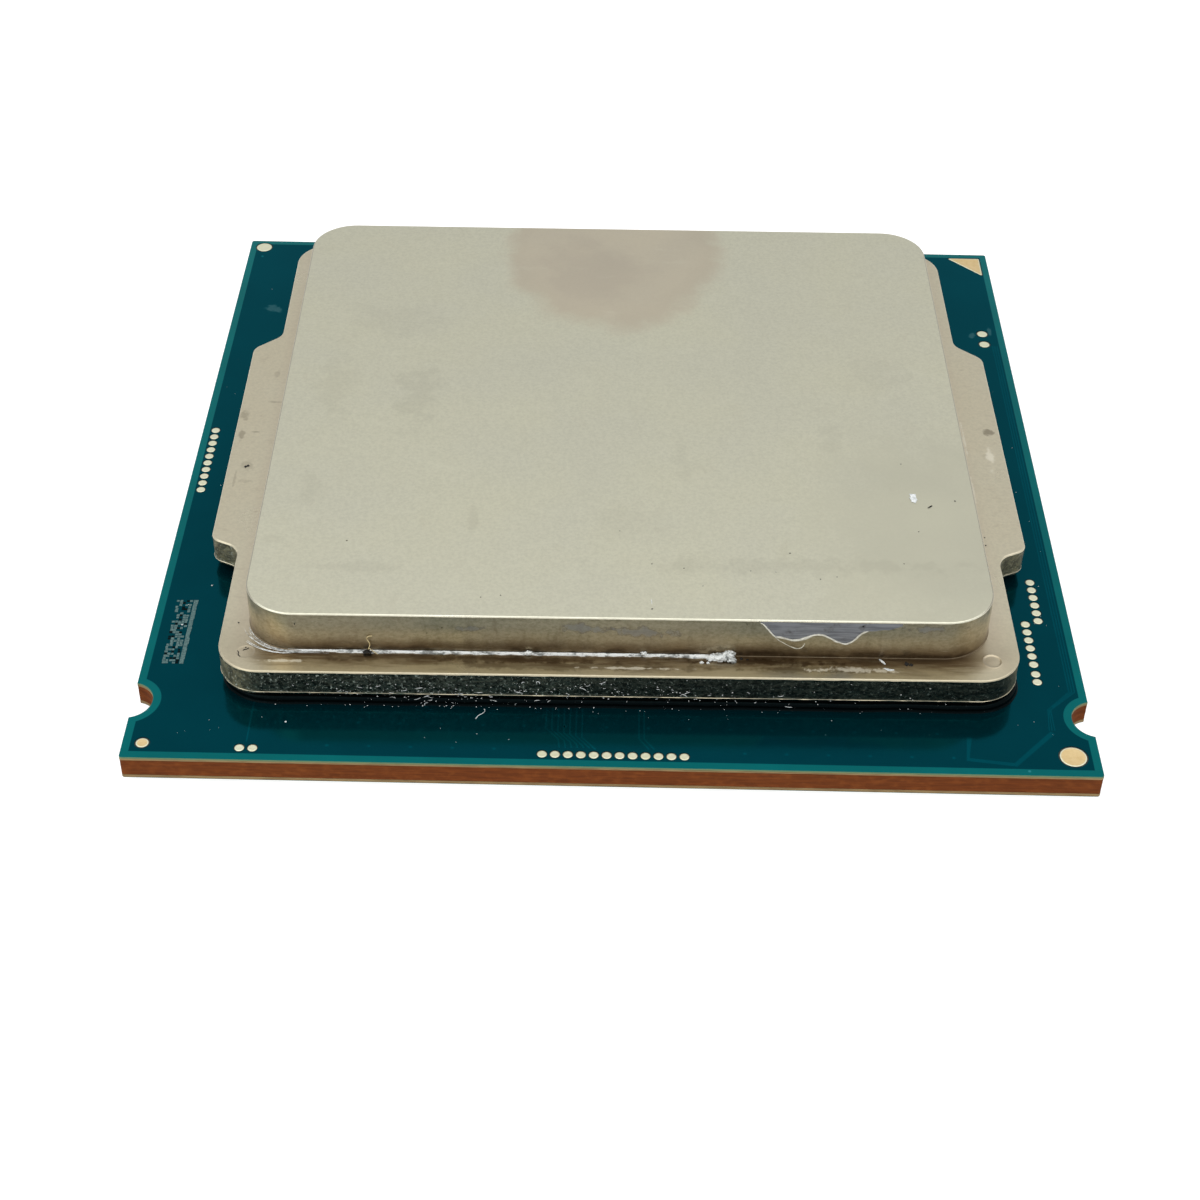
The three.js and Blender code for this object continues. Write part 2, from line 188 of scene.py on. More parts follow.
def resampled(outline, step):
    """The same outline with no two neighbours further apart than step."""
    points = []
    for (ax, ay), (bx, by) in zip(outline, outline[1:] + outline[:1]):
        count = max(1, math.ceil(math.hypot(bx - ax, by - ay) / step))
        points += [(ax + (bx - ax) * i / count, ay + (by - ay) * i / count) for i in range(count)]
    return points


def normals(outline):
    """The outward direction at each point of a counter-clockwise outline."""
    found = []
    for (ax, ay), (bx, by) in zip(outline[-1:] + outline[:-1], outline[1:] + outline[:1]):
        length = math.hypot(bx - ax, by - ay)
        found.append(((by - ay) / length, (ax - bx) / length))
    return found


def quarter_round(radius, steps=4):
    """Pairs of inset and rise round a quarter circle, from the full inset to none."""
    angles = [math.radians(90 * i / steps) for i in range(steps + 1)]
    return [(radius * (1 - math.sin(a)), radius * (1 - math.cos(a))) for a in angles]


def smoothed(points, rounds):
    """Points with their corners cut, over and over, so that they run in a curve."""
    for _ in range(rounds):
        cut = [points[0]]
        for first, second in zip(points, points[1:]):
            a, b = Vector(first), Vector(second)
            cut += [tuple(a * 0.75 + b * 0.25), tuple(a * 0.25 + b * 0.75)]
        points = cut + [points[-1]]
    return points


def rounded_polygon(points, radius, steps=5):
    """A convex counter-clockwise polygon with its corners rounded."""
    outline = []
    for before, corner, after in zip(points[-1:] + points[:-1], points, points[1:] + points[:1]):
        into = (Vector(corner) - Vector(before)).normalized()
        away = (Vector(after) - Vector(corner)).normalized()
        turn = into.angle(away)
        start = Vector(corner) - into * (radius * math.tan(turn / 2))
        centre = start + Vector((-into.y, into.x)) * radius
        first = math.degrees(math.atan2(start.y - centre.y, start.x - centre.x))
        outline += arc(centre.x, centre.y, radius, first, first + math.degrees(turn), steps)
    return outline


# ---------------------------------------------------------------- mesh building


class Shape:
    """A mesh in the making: points in millimetres, and faces with the number of their finish."""

    def __init__(self):
        self.points = []
        self.faces = []
        self.finishes = []
        self.smooth = []

    def ring(self, points):
        first = len(self.points)
        self.points += points
        return list(range(first, len(self.points)))

    def flat_ring(self, outline, z):
        return self.ring([(x, y, z) for x, y in outline])

    def face(self, corners, finish=0, smooth=True):
        self.faces.append(tuple(corners))
        self.finishes.append(finish)
        self.smooth.append(smooth)

    def bridge(self, rings, finish=0):
        """Joins each ring to the next by a band of faces."""
        for lower, upper in zip(rings, rings[1:]):
            for i, j in zip(range(len(lower)), [*range(1, len(lower)), 0]):
                self.face((lower[i], lower[j], upper[j], upper[i]), finish)

    def bands(self, rings, runs):
        """Bridges rings in several finishes. runs pairs a number of bands with their finish."""
        for count, finish in runs:
            self.bridge(rings[:count + 1], finish)
            rings = rings[count:]

    def tube(self, rings, finish=0):
        """Bridges rings and closes both ends with one face each."""
        self.bridge(rings, finish)
        self.face(reversed(rings[0]), finish)
        self.face(rings[-1], finish)

    def fill(self, outer, holes=(), finish=0, up=True):
        """Fills a level counter-clockwise outline, leaving its holes open."""
        numbers = list(outer)
        edges = []
        for hole in holes:
            first, count = len(numbers), len(hole)
            edges += [(first + i, first + (i + 1) % count) for i in range(count)]
            numbers += hole
        flat = [Vector(self.points[n][:2]) for n in numbers]
        rim = list(range(len(outer)))
        _, _, triangles, sources, _, _ = delaunay_2d_cdt(flat, edges, [rim], INSIDE_WITH_HOLES, 1e-6)
        for triangle in triangles:
            corners = [numbers[sources[i][0]] for i in triangle]
            self.face(corners if up else reversed(corners), finish, smooth=False)

    def block(self, rings, side=0, bottom=0, top=0):
        """Bridges level rings and fills the lowest and the highest."""
        self.bridge(rings, side)
        self.fill(rings[0], finish=bottom, up=False)
        self.fill(rings[-1], finish=top)

    def build(self, name, finishes, place=Matrix(), sharp=35):
        mesh = bpy.data.meshes.new(name)
        mesh.from_pydata([Vector(p) * MM for p in self.points], [], self.faces)
        for finish in finishes:
            mesh.materials.append(finish)
        mesh.polygons.foreach_set("material_index", self.finishes)
        mesh.polygons.foreach_set("use_smooth", self.smooth)
        mesh.set_sharp_from_angle(angle=math.radians(sharp))
        mesh.update()
        return show(name, mesh, place)


def in_scene(name, data):
    """A new object in the scene."""
    made = bpy.data.objects.new(name, data)
    bpy.context.scene.collection.objects.link(made)
    return made


def show(name, mesh, place=Matrix()):
    """Puts a mesh in the scene as a piece of the object's one body."""
    piece = in_scene(name, mesh)
    piece.matrix_world = place
    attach(piece, "root")
    return piece


# ---------------------------------------------------------------- finishes


def colour(red, green, blue):
    """A colour as a screen shows it, 0 to 255, turned into the linear values that nodes take."""
    shares = [c / 255 for c in (red, green, blue)]
    return [s / 12.92 if s <= 0.04045 else ((s + 0.055) / 1.055) ** 2.4 for s in shares] + [1.0]


def is_socket(value):
    return isinstance(value, bpy.types.NodeSocket)


class Finish:
    """A material in the making. Its textures are in millimetres, and its base colour is built up in tone."""

    def __init__(self, name, **sockets):
        self.material = bpy.data.materials.new(name)
        self.material.use_nodes = True
        self.nodes = self.material.node_tree.nodes
        self.links = self.material.node_tree.links
        self.shader = self.nodes["Principled BSDF"]
        self.paint(**sockets)
        place = self.node("ShaderNodeTexCoord").outputs["Object"]
        scaled = self.node("ShaderNodeVectorMath", {0: place, "Scale": 1 / MM}, operation="SCALE")
        self.place = scaled.outputs["Vector"]

    def node(self, kind, inputs=None, **settings):
        made = self.nodes.new(kind)
        for key, value in settings.items():
            setattr(made, key, value)
        for key, value in (inputs or {}).items():
            self.put(made.inputs[key], value)
        return made

    def put(self, socket, value):
        if is_socket(value):
            self.links.new(value, socket)
        else:
            socket.default_value = value

    def paint(self, **sockets):
        for socket, value in sockets.items():
            self.put(self.shader.inputs[socket.replace("_", " ")], value)

    def done(self):
        """The material, with the base colour that was built up."""
        self.paint(Base_Color=self.tone)
        return self.material

    def vector(self, operation, first, second=(0, 0, 0), output="Vector"):
        return self.node("ShaderNodeVectorMath", {0: first, 1: second}, operation=operation).outputs[output]

    def maths(self, operation, first, second=0.0):
        return self.node("ShaderNodeMath", {0: first, 1: second}, operation=operation).outputs[0]

    def axis(self, name):
        return self.node("ShaderNodeSeparateXYZ", {0: self.place}).outputs[name]

    def aside(self, name):
        """How far a point is from the middle along an axis."""
        return self.maths("ABSOLUTE", self.axis(name))

    def noise(self, scale, detail=2.0, roughness=0.5, stretch=None, distortion=0.0):
        """Cloudy noise, finer along an axis where stretch is over 1."""
        place = self.vector("MULTIPLY", self.place, stretch) if stretch else self.place
        inputs = {"Vector": place, "Scale": scale, "Detail": detail}
        inputs |= {"Roughness": roughness, "Distortion": distortion}
        return self.node("ShaderNodeTexNoise", inputs).outputs["Fac"]

    def between(self, value, start, end, bottom=0.0, top=1.0):
        """bottom where value is at start or before, top where it is at end or past, and a smooth change."""
        inputs = {"Value": value, "From Min": start, "From Max": end, "To Min": bottom, "To Max": top}
        return self.node("ShaderNodeMapRange", inputs, interpolation_type="SMOOTHSTEP").outputs[0]

    def mix(self, share, first, second):
        """A blend of two tones, each a socket or the red, green and blue of a screen."""
        first, second = (tone if is_socket(tone) else colour(*tone) for tone in (first, second))
        inputs = {"Factor": share, MIX_FIRST: first, MIX_SECOND: second}
        return self.node("ShaderNodeMix", inputs, data_type="RGBA").outputs[MIX_RESULT]

    def tint(self, share, tone):
        self.tone = self.mix(share, self.tone, tone)

    def stain(self, value, start, end, strength, tone, where=1.0):
        """Tints the base colour from value start, where it doesn't show, to value end."""
        self.tint(self.maths("MULTIPLY", where, self.between(value, start, end, 0.0, strength)), tone)

    def line(self, value, at, width, strength, tone):
        """Tints a soft line, along the points where value is at."""
        self.stain(self.maths("ABSOLUTE", self.maths("SUBTRACT", value, at)), width, 0.0, strength, tone)

    def specks(self, scale, size, share):
        """1 in small round spots. share is how many of the cells hold one."""
        cells = self.node("ShaderNodeTexVoronoi", {"Vector": self.place, "Scale": scale})
        spot = self.between(cells.outputs["Distance"], size, size * 0.6)
        chosen = self.between(cells.outputs["Color"], share, share - 0.01)
        return self.maths("MULTIPLY", spot, chosen)

    def oval(self, middle, half, ragged=0.0, scale=0.5):
        """How far out a point is in an oval: 0 at its middle and 1 on its rim, which ragged makes uneven."""
        offset = self.vector("DIVIDE", self.vector("SUBTRACT", self.place, middle), half)
        uneven = self.between(self.noise(scale, 4.0, 0.6), 0.25, 0.75, -ragged, ragged)
        return self.maths("ADD", self.vector("LENGTH", offset, output="Value"), uneven)

    def patches(self, places, height, rim, start, end, tone):
        """Stains in level ovals. rim says how ragged they are and at what scale."""
        for x, y, half_x, half_y, strength in places:
            patch = self.oval((x, y, height), (half_x, half_y, 1.0), *rim)
            self.stain(patch, start, end, strength, tone)

    def bump(self, height, depth):
        """Relief of that depth in millimetres where height goes from 0 to 1."""
        bump = self.node("ShaderNodeBump", {"Height": height, "Distance": depth * MM, "Strength": 1.0})
        if self.shader.inputs["Normal"].links:
            self.put(bump.inputs["Normal"], self.shader.inputs["Normal"].links[0].from_socket)
        self.put(self.shader.inputs["Normal"], bump.outputs[0])

    def from_plateau(self):
        """How far a point of the flange is from the plateau's wall, corners taken as square."""
        x, y = (self.maths("SUBTRACT", self.aside(axis), half) for axis, half in zip("XY", PLATEAU_HALF))
        return self.maths("MAXIMUM", x, y)


def nickel(name, pale, deep, roughness):
    """Satin nickel plating with a fine blasted grain and slow clouds of tone."""
    finish = Finish(name, Metallic=1.0)
    grain = finish.noise(7.0, 4.0, 0.7)
    clouds = finish.noise(0.22, 3.0)
    finish.tone = finish.mix(finish.between(clouds, 0.3, 0.7), pale, deep)
    finish.stain(grain, 0.3, 0.75, 0.16, (120, 118, 100))
    finish.bump(grain, 0.0012)
    finish.paint(Roughness=finish.between(clouds, 0.25, 0.75, roughness - 0.04, roughness + 0.05))
    return finish


# Patches, each with its middle, half width, half length and strength. The flange's smears are pale and dry
PLATEAU_SMEARS = ((6.8, -11.2, 7.4, 0.55, 0.2), (-8.9, 0.4, 1.1, 2.6, 0.2), (-12.5, 1.0, 0.9, 3.2, 0.16),
                  (-10.5, -11.6, 2.2, 0.35, 0.16), (-6.0, -8.6, 0.2, 1.3, 0.2), (9.0, -2.5, 0.5, 1.4, 0.14),
                  (-12.8, -6.6, 0.5, 1.2, 0.14), (2.6, -4.2, 0.4, 1.6, 0.12), (0.3, -8.4, 1.4, 1.0, 0.1),
                  (-10.2, 6.2, 2.6, 1.4, 0.1), (11.4, 2.2, 1.6, 1.8, 0.1), (-14.1, -9.9, 0.6, 0.3, 0.14))
FLANGE_STAINS = ((5.6, -14.8, 3.2, 0.22, 0.75), (-4.2, -14.85, 3.6, 0.22, 0.6), (7.4, -15.2, 2.6, 0.2, 0.4),
                 (-1.9, -15.2, 5.4, 0.26, 0.4), (-10.4, -14.9, 1.2, 0.16, 0.5), (-16.68, 1.1, 0.3, 0.42, 0.3),
                 (-16.6, -0.4, 0.16, 0.35, 0.35), (-16.1, -0.12, 0.26, 0.05, 0.35),
                 (-15.4, 2.18, 0.4, 0.07, 0.25), (-16.05, -2.6, 0.32, 0.3, 0.16),
                 (-16.5, -3.6, 0.06, 0.6, 0.2), (-15.9, -3.7, 0.4, 0.12, 0.12),
                 (16.45, 0.65, 0.25, 0.25, 0.5), (-15.6, 4.4, 0.16, 0.3, 0.2),
                 (-13.9, -14.95, 0.5, 0.12, 0.25))
FLANGE_SMEARS = ((9.0, -15.18, 1.7, 0.17, 0.6), (0.6, -15.26, 1.9, 0.08, 0.6), (-12.9, -15.1, 1.2, 0.1, 0.6),
                 (15.3, 0.0, 0.05, 1.5, 0.6), (15.25, -3.6, 0.05, 1.0, 0.6), (16.28, -1.2, 0.2, 0.9, 0.6))
BOARD_SMUDGES = ((-16.8, 12.4, 0.5, 0.35, 0.4), (18.1, 11.6, 0.12, 0.5, 0.4), (17.2, 11.3, 0.2, 0.25, 0.4))
# Middle and half sizes, in X and Z, of the bluish smears on the plateau's front wall
WALL_SMEARS = ((-1.3, 4.5, 0.9, 0.24), (0.9, 4.35, 1.2, 0.26),
               (-5.8, 4.42, 0.5, 0.14), (12.0, 4.72, 1.1, 0.16))


def nickel_top():
    """The plateau: even and pale, with one browned oval at the back and faint scuffs."""
    finish = nickel("nickel_plateau", (215, 212, 190), (210, 207, 184), 0.4)
    browned = finish.oval((-0.3, 12.5, LID_TOP), (5.0, 6.7, 9.0), ragged=0.08)
    finish.stain(browned, 1.12, 0.86, 0.75, (200, 188, 166))
    finish.line(browned, 0.9, 0.16, 0.12, (184, 172, 150))
    darkest = finish.oval((-1.2, 10.4, LID_TOP), (3.0, 3.6, 9.0), ragged=0.3)
    finish.stain(darkest, 1.1, 0.4, 0.3, (180, 168, 152))
    dim = finish.oval((13.0, -9.0, LID_TOP), (7.0, 9.0, 9.0), ragged=0.2)
    finish.stain(dim, 1.0, 0.3, 0.85, (202, 199, 177))
    finish.patches(PLATEAU_SMEARS, LID_TOP, (0.6, 1.3), 1.2, 0.3, (172, 168, 148))
    scuffs = finish.noise(1.1, 6.0, 0.72, (1.0, 0.5, 1.0))
    finish.stain(scuffs, 0.56, 0.76, 0.22, (190, 183, 160))
    worn = finish.noise(0.5, 5.0, 0.62, (0.8, 2.2, 1.0))
    finish.stain(worn, 0.58, 0.74, 0.14, (228, 226, 204))
    finish.tint(finish.specks(0.9, 0.04, 0.12), (84, 76, 64))
    return finish.done()


def nickel_edge_painted_highlight():
    """The plateau's rounded edge: a paler copy of the plateau's nickel that is a painted highlight, bright at
    the front and the back and toned down along its sides.
    """
    finish = nickel("nickel_edge_painted_highlight", (244, 241, 220), (230, 227, 204), 0.3)
    # Painted highlight toned down: the edge is darkened along the sides, where the line of light fades.
    finish.stain(finish.aside("X"), PLATEAU_HALF[0] - 0.8, PLATEAU_HALF[0] - 0.15, 1.0, (174, 168, 150))
    return finish.done()


def nickel_flange():
    """The flange's top: warm, pinkish beside the plateau, darker towards the front, and browned in front of
    the plateau by painted shade and reflection of its wall, with some grime.
    """
    finish = nickel("nickel_flange", (221, 212, 185), (214, 204, 177), 0.3)
    away, forward = finish.from_plateau(), finish.axis("Y")
    finish.stain(away, 1.0, 0.1, 0.3, (196, 176, 156))
    finish.stain(forward, -11.5, -14.6, 0.35, (172, 160, 130))
    # Painted shade and reflection of the wall, with some grime: brown darkening by the wall's foot in front
    # of the plateau, spread unevenly by drift.
    front = finish.between(forward, PLATEAU_FRONT + 0.6, PLATEAU_FRONT - 0.1)
    front = finish.maths("MULTIPLY", front, finish.between(finish.aside("X"), 15.0, 13.4))
    drift = finish.noise(1.3, 5.0, 0.6, (0.45, 2.6, 1.0))
    reach = finish.maths("ADD", away, finish.between(drift, 0.3, 0.7, -0.3, 0.3))
    finish.stain(reach, 1.1, 0.15, 0.8, (104, 84, 60), where=front)
    streaks = finish.noise(2.4, 5.0, 0.7, (0.3, 4.0, 1.0))
    finish.stain(streaks, 0.54, 0.66, 0.45, (206, 198, 176), where=front)
    blots = finish.noise(1.6, 5.0, 0.65, (0.6, 1.4, 1.0))
    finish.stain(blots, 0.56, 0.76, 0.3, (166, 150, 126))
    finish.tint(finish.specks(0.8, 0.05, 0.14), (80, 66, 54))
    finish.patches(FLANGE_STAINS, FLANGE_TOP, (0.5, 2.4), 1.1, 0.5, (82, 66, 48))
    dry = 0.0
    for x, y, half_x, half_y, strength in FLANGE_SMEARS:
        smear = finish.oval((x, y, FLANGE_TOP), (half_x, half_y, 1.0), ragged=0.7, scale=3.0)
        dry = finish.maths("MAXIMUM", finish.between(smear, 1.1, 0.4, 0.0, strength), dry)
    finish.tint(dry, (222, 216, 196))
    finish.paint(Metallic=finish.maths("SUBTRACT", 1.0, dry))
    return finish.done()


def nickel_wall():
    """The plateau's drawn wall: brownish and darker towards its foot, with a painted shadow line in the
    crease at its front foot, upright marks and faint bluish smears.
    """
    finish = nickel("nickel_wall", (198, 188, 161), (184, 172, 146), 0.32)
    wander = finish.between(finish.noise(0.8, 4.0), 0.3, 0.7, -0.16, 0.16)
    height = finish.maths("ADD", finish.axis("Z"), wander)
    finish.stain(height, FLANGE_TOP + 0.85, FLANGE_TOP + 0.2, 0.55, (120, 96, 68))
    # Painted shade: a dark line in the crease where the front wall meets the flange.
    front = finish.between(finish.axis("Y"), PLATEAU_FRONT + 0.8, PLATEAU_FRONT + 0.1, 0.15, 0.7)
    finish.stain(height, FLANGE_TOP + 0.3, FLANGE_TOP + 0.05, 1.0, (58, 44, 32), where=front)
    marks = finish.noise(1.1, 5.0, 0.7, (2.5, 2.5, 0.7))
    finish.stain(marks, 0.5, 0.72, 0.4, (136, 120, 98))
    finish.bump(marks, 0.005)
    fine = finish.noise(4.5, 6.0, 0.78, (1.0, 1.0, 1.6))
    finish.stain(fine, 0.42, 0.62, 0.35, (118, 106, 82))
    scratches = finish.noise(2.6, 5.0, 0.7, (0.5, 0.5, 4.0))
    finish.stain(scratches, 0.6, 0.68, 0.35, (210, 204, 180))
    for x, z, half_x, half_z in WALL_SMEARS:
        smear = finish.oval((x, PLATEAU_FRONT, z), (half_x, 1.0, half_z), ragged=0.6, scale=2.4)
        finish.stain(smear, 1.1, 0.3, 0.5, (150, 152, 158))
        finish.line(smear, 0.8, 0.16, 0.4, (96, 88, 80))
    finish.tint(finish.specks(1.3, 0.07, 0.22), (60, 48, 38))
    finish.tint(finish.specks(2.3, 0.08, 0.07), (226, 222, 204))
    return finish.done()


def nickel_sheared():
    """The flange's sheared edge: torn and dull, peppered with dust, and tinted a lighter mottled olive at the
    corners and ears, partly as a painted reflection of the brighter surroundings.
    """
    finish = nickel("nickel_sheared", (112, 113, 98), (80, 84, 74), 0.34)
    torn = finish.noise(5.0, 6.0, 0.75, (1.0, 1.0, 1.5))
    finish.bump(torn, 0.03)
    finish.stain(torn, 0.42, 0.6, 0.9, (30, 32, 27))
    clean = finish.between(finish.axis("X"), -10.0, 9.0)
    finish.tint(finish.maths("MULTIPLY", clean, 0.4), (20, 30, 30))
    # Painted reflection over a real mottle: the corners and sides, which turn towards the brighter
    # surroundings, take a lighter olive tone.
    left = finish.between(finish.axis("X"), -13.8, -15.0)
    right = finish.between(finish.axis("X"), 14.8, 15.7, 0.0, 0.8)
    corner = finish.maths("MAXIMUM", left, right)
    mottle = finish.between(finish.noise(4.2, 6.0, 0.74, distortion=0.6), 0.4, 0.58)
    olive = finish.mix(mottle, (78, 74, 56), (142, 136, 106))
    finish.tint(finish.maths("MULTIPLY", corner, 0.85), olive)
    fleck = finish.between(finish.noise(8.0, 4.0, 0.8, distortion=0.8), 0.58, 0.64, 0.0, 0.95)
    fleck = finish.maths("MULTIPLY", fleck, finish.between(clean, 0.0, 1.0, 1.0, 0.35))
    finish.tint(fleck, (206, 212, 196))
    spots = finish.maths("MAXIMUM", finish.specks(3.6, 0.13, 0.16), finish.specks(6.0, 0.2, 0.1))
    finish.tint(spots, (240, 242, 236))
    # Less metallic at the corners and sides so that the painted olive reflection shows, and on the flecks and
    # spots.
    dull = finish.maths("MULTIPLY", corner, 0.7)
    dull = finish.maths("MAXIMUM", finish.maths("MULTIPLY", fleck, 0.5), dull)
    finish.paint(Metallic=finish.maths("SUBTRACT", 1.0, finish.maths("MAXIMUM", dull, spots)))
    return finish.done()


def board_strip(finish):
    """1 on the strip along the board's edge and round its notches, and 0 inside it."""
    soft = 0.03
    x, y = finish.aside("X"), finish.axis("Y")
    edge = finish.maths("MAXIMUM", x, finish.maths("ABSOLUTE", y))
    along_edge = finish.between(edge, BOARD_HALF - BORDER - soft, BOARD_HALF - BORDER + soft)
    folded = finish.node("ShaderNodeCombineXYZ", {"X": x, "Y": y}).outputs[0]
    notch = (BOARD_HALF + NOTCH_CENTRE_OUT, NOTCH_Y, 0)
    distance = finish.vector("DISTANCE", folded, notch, output="Value")
    ring = NOTCH_RADIUS + BORDER
    return finish.maths("MAXIMUM", along_edge, finish.between(distance, ring + soft, ring - soft))


def lacquer(name, pale, deep):
    """Glossy teal solder mask. Copper shines back through it in its own teal, like a tinted metal."""
    finish = Finish(name, Specular_IOR_Level=0.1, Specular_Tint=(0.2, 0.9, 1.0, 1.0))
    clouds = finish.between(finish.noise(0.35, 4.0), 0.3, 0.7)
    strip = board_strip(finish)
    finish.tone = finish.mix(clouds, pale, deep)
    finish.tint(strip, finish.mix(clouds, (0, 96, 97), (0, 90, 91)))
    finish.tint(finish.specks(0.7, 0.05, 0.2), (40, 120, 126))
    finish.patches(BOARD_SMUDGES, BOARD_TOP, (0.5, 2.0), 1.0, 0.5, (92, 128, 132))
    finish.bump(finish.noise(2.2), 0.0012)
    finish.paint(Metallic=finish.between(strip, 0.0, 1.0, 0.8, 0.0))
    finish.paint(Roughness=finish.between(strip, 0.0, 1.0, 0.13, 0.2))
    return finish.done()


def gold(name, pale, deep, roughness):
    """Matt gold plating with slow blotches and a fine grain."""
    finish = Finish(name, Metallic=0.85)
    blotch = finish.noise(3.0, 4.0, 0.6)
    finish.bump(finish.noise(14.0, 3.0), 0.002)
    finish.tone = finish.mix(finish.between(blotch, 0.35, 0.75, 0.0, 0.6), pale, deep)
    finish.paint(Roughness=finish.between(blotch, 0.3, 0.7, roughness, roughness + 0.12))
    return finish.done()


def cut_laminate():
    """The sawn edge of glass-fibre laminate: level layers, crossed by bundles of fibre ends."""
    finish = Finish("cut_laminate", Roughness=0.8, Specular_IOR_Level=0.08)
    layers = finish.noise(1.0, 4.0, 0.6, (0.7, 0.7, 11.0))
    bundles = finish.noise(2.6, 3.0, stretch=(1.0, 1.0, 1.8))
    finish.tone = finish.mix(finish.between(layers, 0.3, 0.72), (110, 57, 24), (89, 45, 19))
    finish.stain(bundles, 0.45, 0.75, 0.5, (127, 70, 31))
    finish.tint(finish.specks(2.2, 0.09, 0.12), (60, 30, 14))
    finish.bump(layers, 0.012)
    finish.bump(bundles, 0.02)
    return finish.done()


def cut_resin():
    """The sawn edge of a build-up: tan layers, tinted green just under the lacquer."""
    finish = Finish("cut_resin", Roughness=0.6, Specular_IOR_Level=0.25)
    layers = finish.noise(1.4, 4.0, stretch=(0.9, 0.9, 22.0))
    finish.tone = finish.mix(finish.between(layers, 0.35, 0.7), (142, 118, 78), (108, 86, 52))
    finish.stain(finish.axis("Z"), BUILDUP_TOP - 0.1, BUILDUP_TOP - 0.03, 0.75, (78, 124, 92))
    finish.bump(layers, 0.008)
    return finish.done()


def resin_with_painted_shade():
    """Dark resin that shows in the ring between a pad and its opening, its near-black tone partly painted
    shade in that recess.
    """
    finish = Finish("resin_with_painted_shade", Roughness=0.6)
    fine = finish.noise(9.0, 3.0)
    finish.bump(fine, 0.003)
    finish.tone = finish.mix(fine, (14, 26, 22), (44, 40, 24))
    return finish.done()


def silicone():
    """Black silicone, lumpy and half glossy, with a little dust."""
    finish = Finish("silicone", Specular_IOR_Level=0.06, Specular_Tint=(0.5, 0.9, 1.0, 1.0))
    lumps = finish.noise(3.0, 4.0, 0.6)
    finish.bump(lumps, 0.02)
    finish.paint(Roughness=finish.between(lumps, 0.3, 0.7, 0.22, 0.4))
    dust_share = finish.between(finish.noise(11.0, 3.0, 0.8), 0.7, 0.75, 0.0, 0.5)
    finish.tone = finish.mix(dust_share, (3, 4, 4), (150, 156, 150))
    return finish.done()


def paste():
    """Dried thermal paste: chalky white with darker creases."""
    finish = Finish("dried_paste", Roughness=0.4)
    folds = finish.noise(2.2, 5.0, 0.65, (1.2, 3.0, 3.0))
    finish.bump(folds, 0.03)
    finish.tone = finish.mix(finish.between(folds, 0.46, 0.64), (238, 241, 238), (128, 131, 128))
    return finish.done()


def film():
    """Paste wiped thin on the wall: bluish grey, streaked level, and darker in blots."""
    finish = Finish("wiped_film", Metallic=0.3, Roughness=0.42)
    streaks = finish.noise(3.0, 4.0, stretch=(0.35, 1.0, 4.0))
    finish.tone = finish.mix(finish.between(streaks, 0.35, 0.68), (128, 130, 134), (100, 102, 106))
    finish.stain(finish.noise(1.6, 5.0, 0.65), 0.56, 0.68, 0.6, (70, 66, 62))
    finish.bump(streaks, 0.006)
    return finish.done()


def plain(name, pale, deep, scale, depth, **sockets):
    """Two tones of one material in a fine grain, with relief to match."""
    finish = Finish(name, **sockets)
    grain = finish.noise(scale, 4.0, 0.6)
    finish.bump(grain, depth)
    finish.tone = finish.mix(finish.between(grain, 0.3, 0.7), pale, deep)
    return finish.done()


LACQUER = lacquer("solder_mask_lacquer", (0, 66, 76), (0, 63, 73))
TRACE = lacquer("lacquer_over_trace", (0, 83, 94), (0, 77, 88))
GOLD = gold("gold_plating", (232, 205, 152), (210, 180, 124), 0.34)
GOLD_RIM = gold("gold_plating_rim", (232, 231, 202), (218, 214, 182), 0.34)
LAND_GOLD = gold("land_plating", (250, 224, 160), (214, 190, 140), 0.26)
CORE = cut_laminate()
RESIN = cut_resin()
DARK_RESIN = resin_with_painted_shade()
PASTE = paste()
FILM = film()
METAL = dict(Metallic=1.0)
TIN = plain("matt_tin", (214, 214, 212), (178, 178, 176), 9.0, 0.006, Roughness=0.42, **METAL)
COPPER = plain("copper_foil", (220, 140, 100), (190, 108, 74), 4.0, 0.004, Roughness=0.38, **METAL)
SOLDER = plain("solder", (176, 178, 182), (146, 148, 152), 4.0, 0.006, Roughness=0.4, **METAL)
SILICON = plain("ground_silicon", (62, 64, 70), (46, 48, 54), 5.0, 0.001, Roughness=0.2, Metallic=0.4)
CERAMIC = plain("capacitor_ceramic", (152, 118, 88), (126, 94, 68), 6.0, 0.004, Roughness=0.5)
EPOXY = plain("underfill_epoxy", (52, 48, 40), (36, 33, 28), 4.0, 0.006, Roughness=0.35)
DUST = plain("dust", (236, 238, 236), (190, 194, 192), 9.0, 0.004, Roughness=0.8)
LIP = plain("dried_lip", (228, 226, 212), (184, 180, 164), 5.0, 0.006, Roughness=0.5)
HAIR = plain("dry_fibre", (206, 190, 144), (168, 146, 96), 7.0, 0.004, Roughness=0.6)
GRIT = plain("dark_grit", (30, 26, 22), (10, 9, 8), 7.0, 0.01, Roughness=0.7)
ETCH = plain("etched_code", (92, 122, 118), (44, 78, 80), 13.0, 0.004, Roughness=0.6)
VOID = plain("etched_gap", (0, 16, 18), (0, 8, 10), 8.0, 0.004, Roughness=0.6, Specular_IOR_Level=0.04)

# ---------------------------------------------------------------- board

SAWN = dict(coarse=(1.5, 6), fine=(5, 14), fine_share=0.6, middle=0.8)
TORN = dict(coarse=(2.2, 3), fine=(6, 9), fine_share=0.5, middle=0.9)


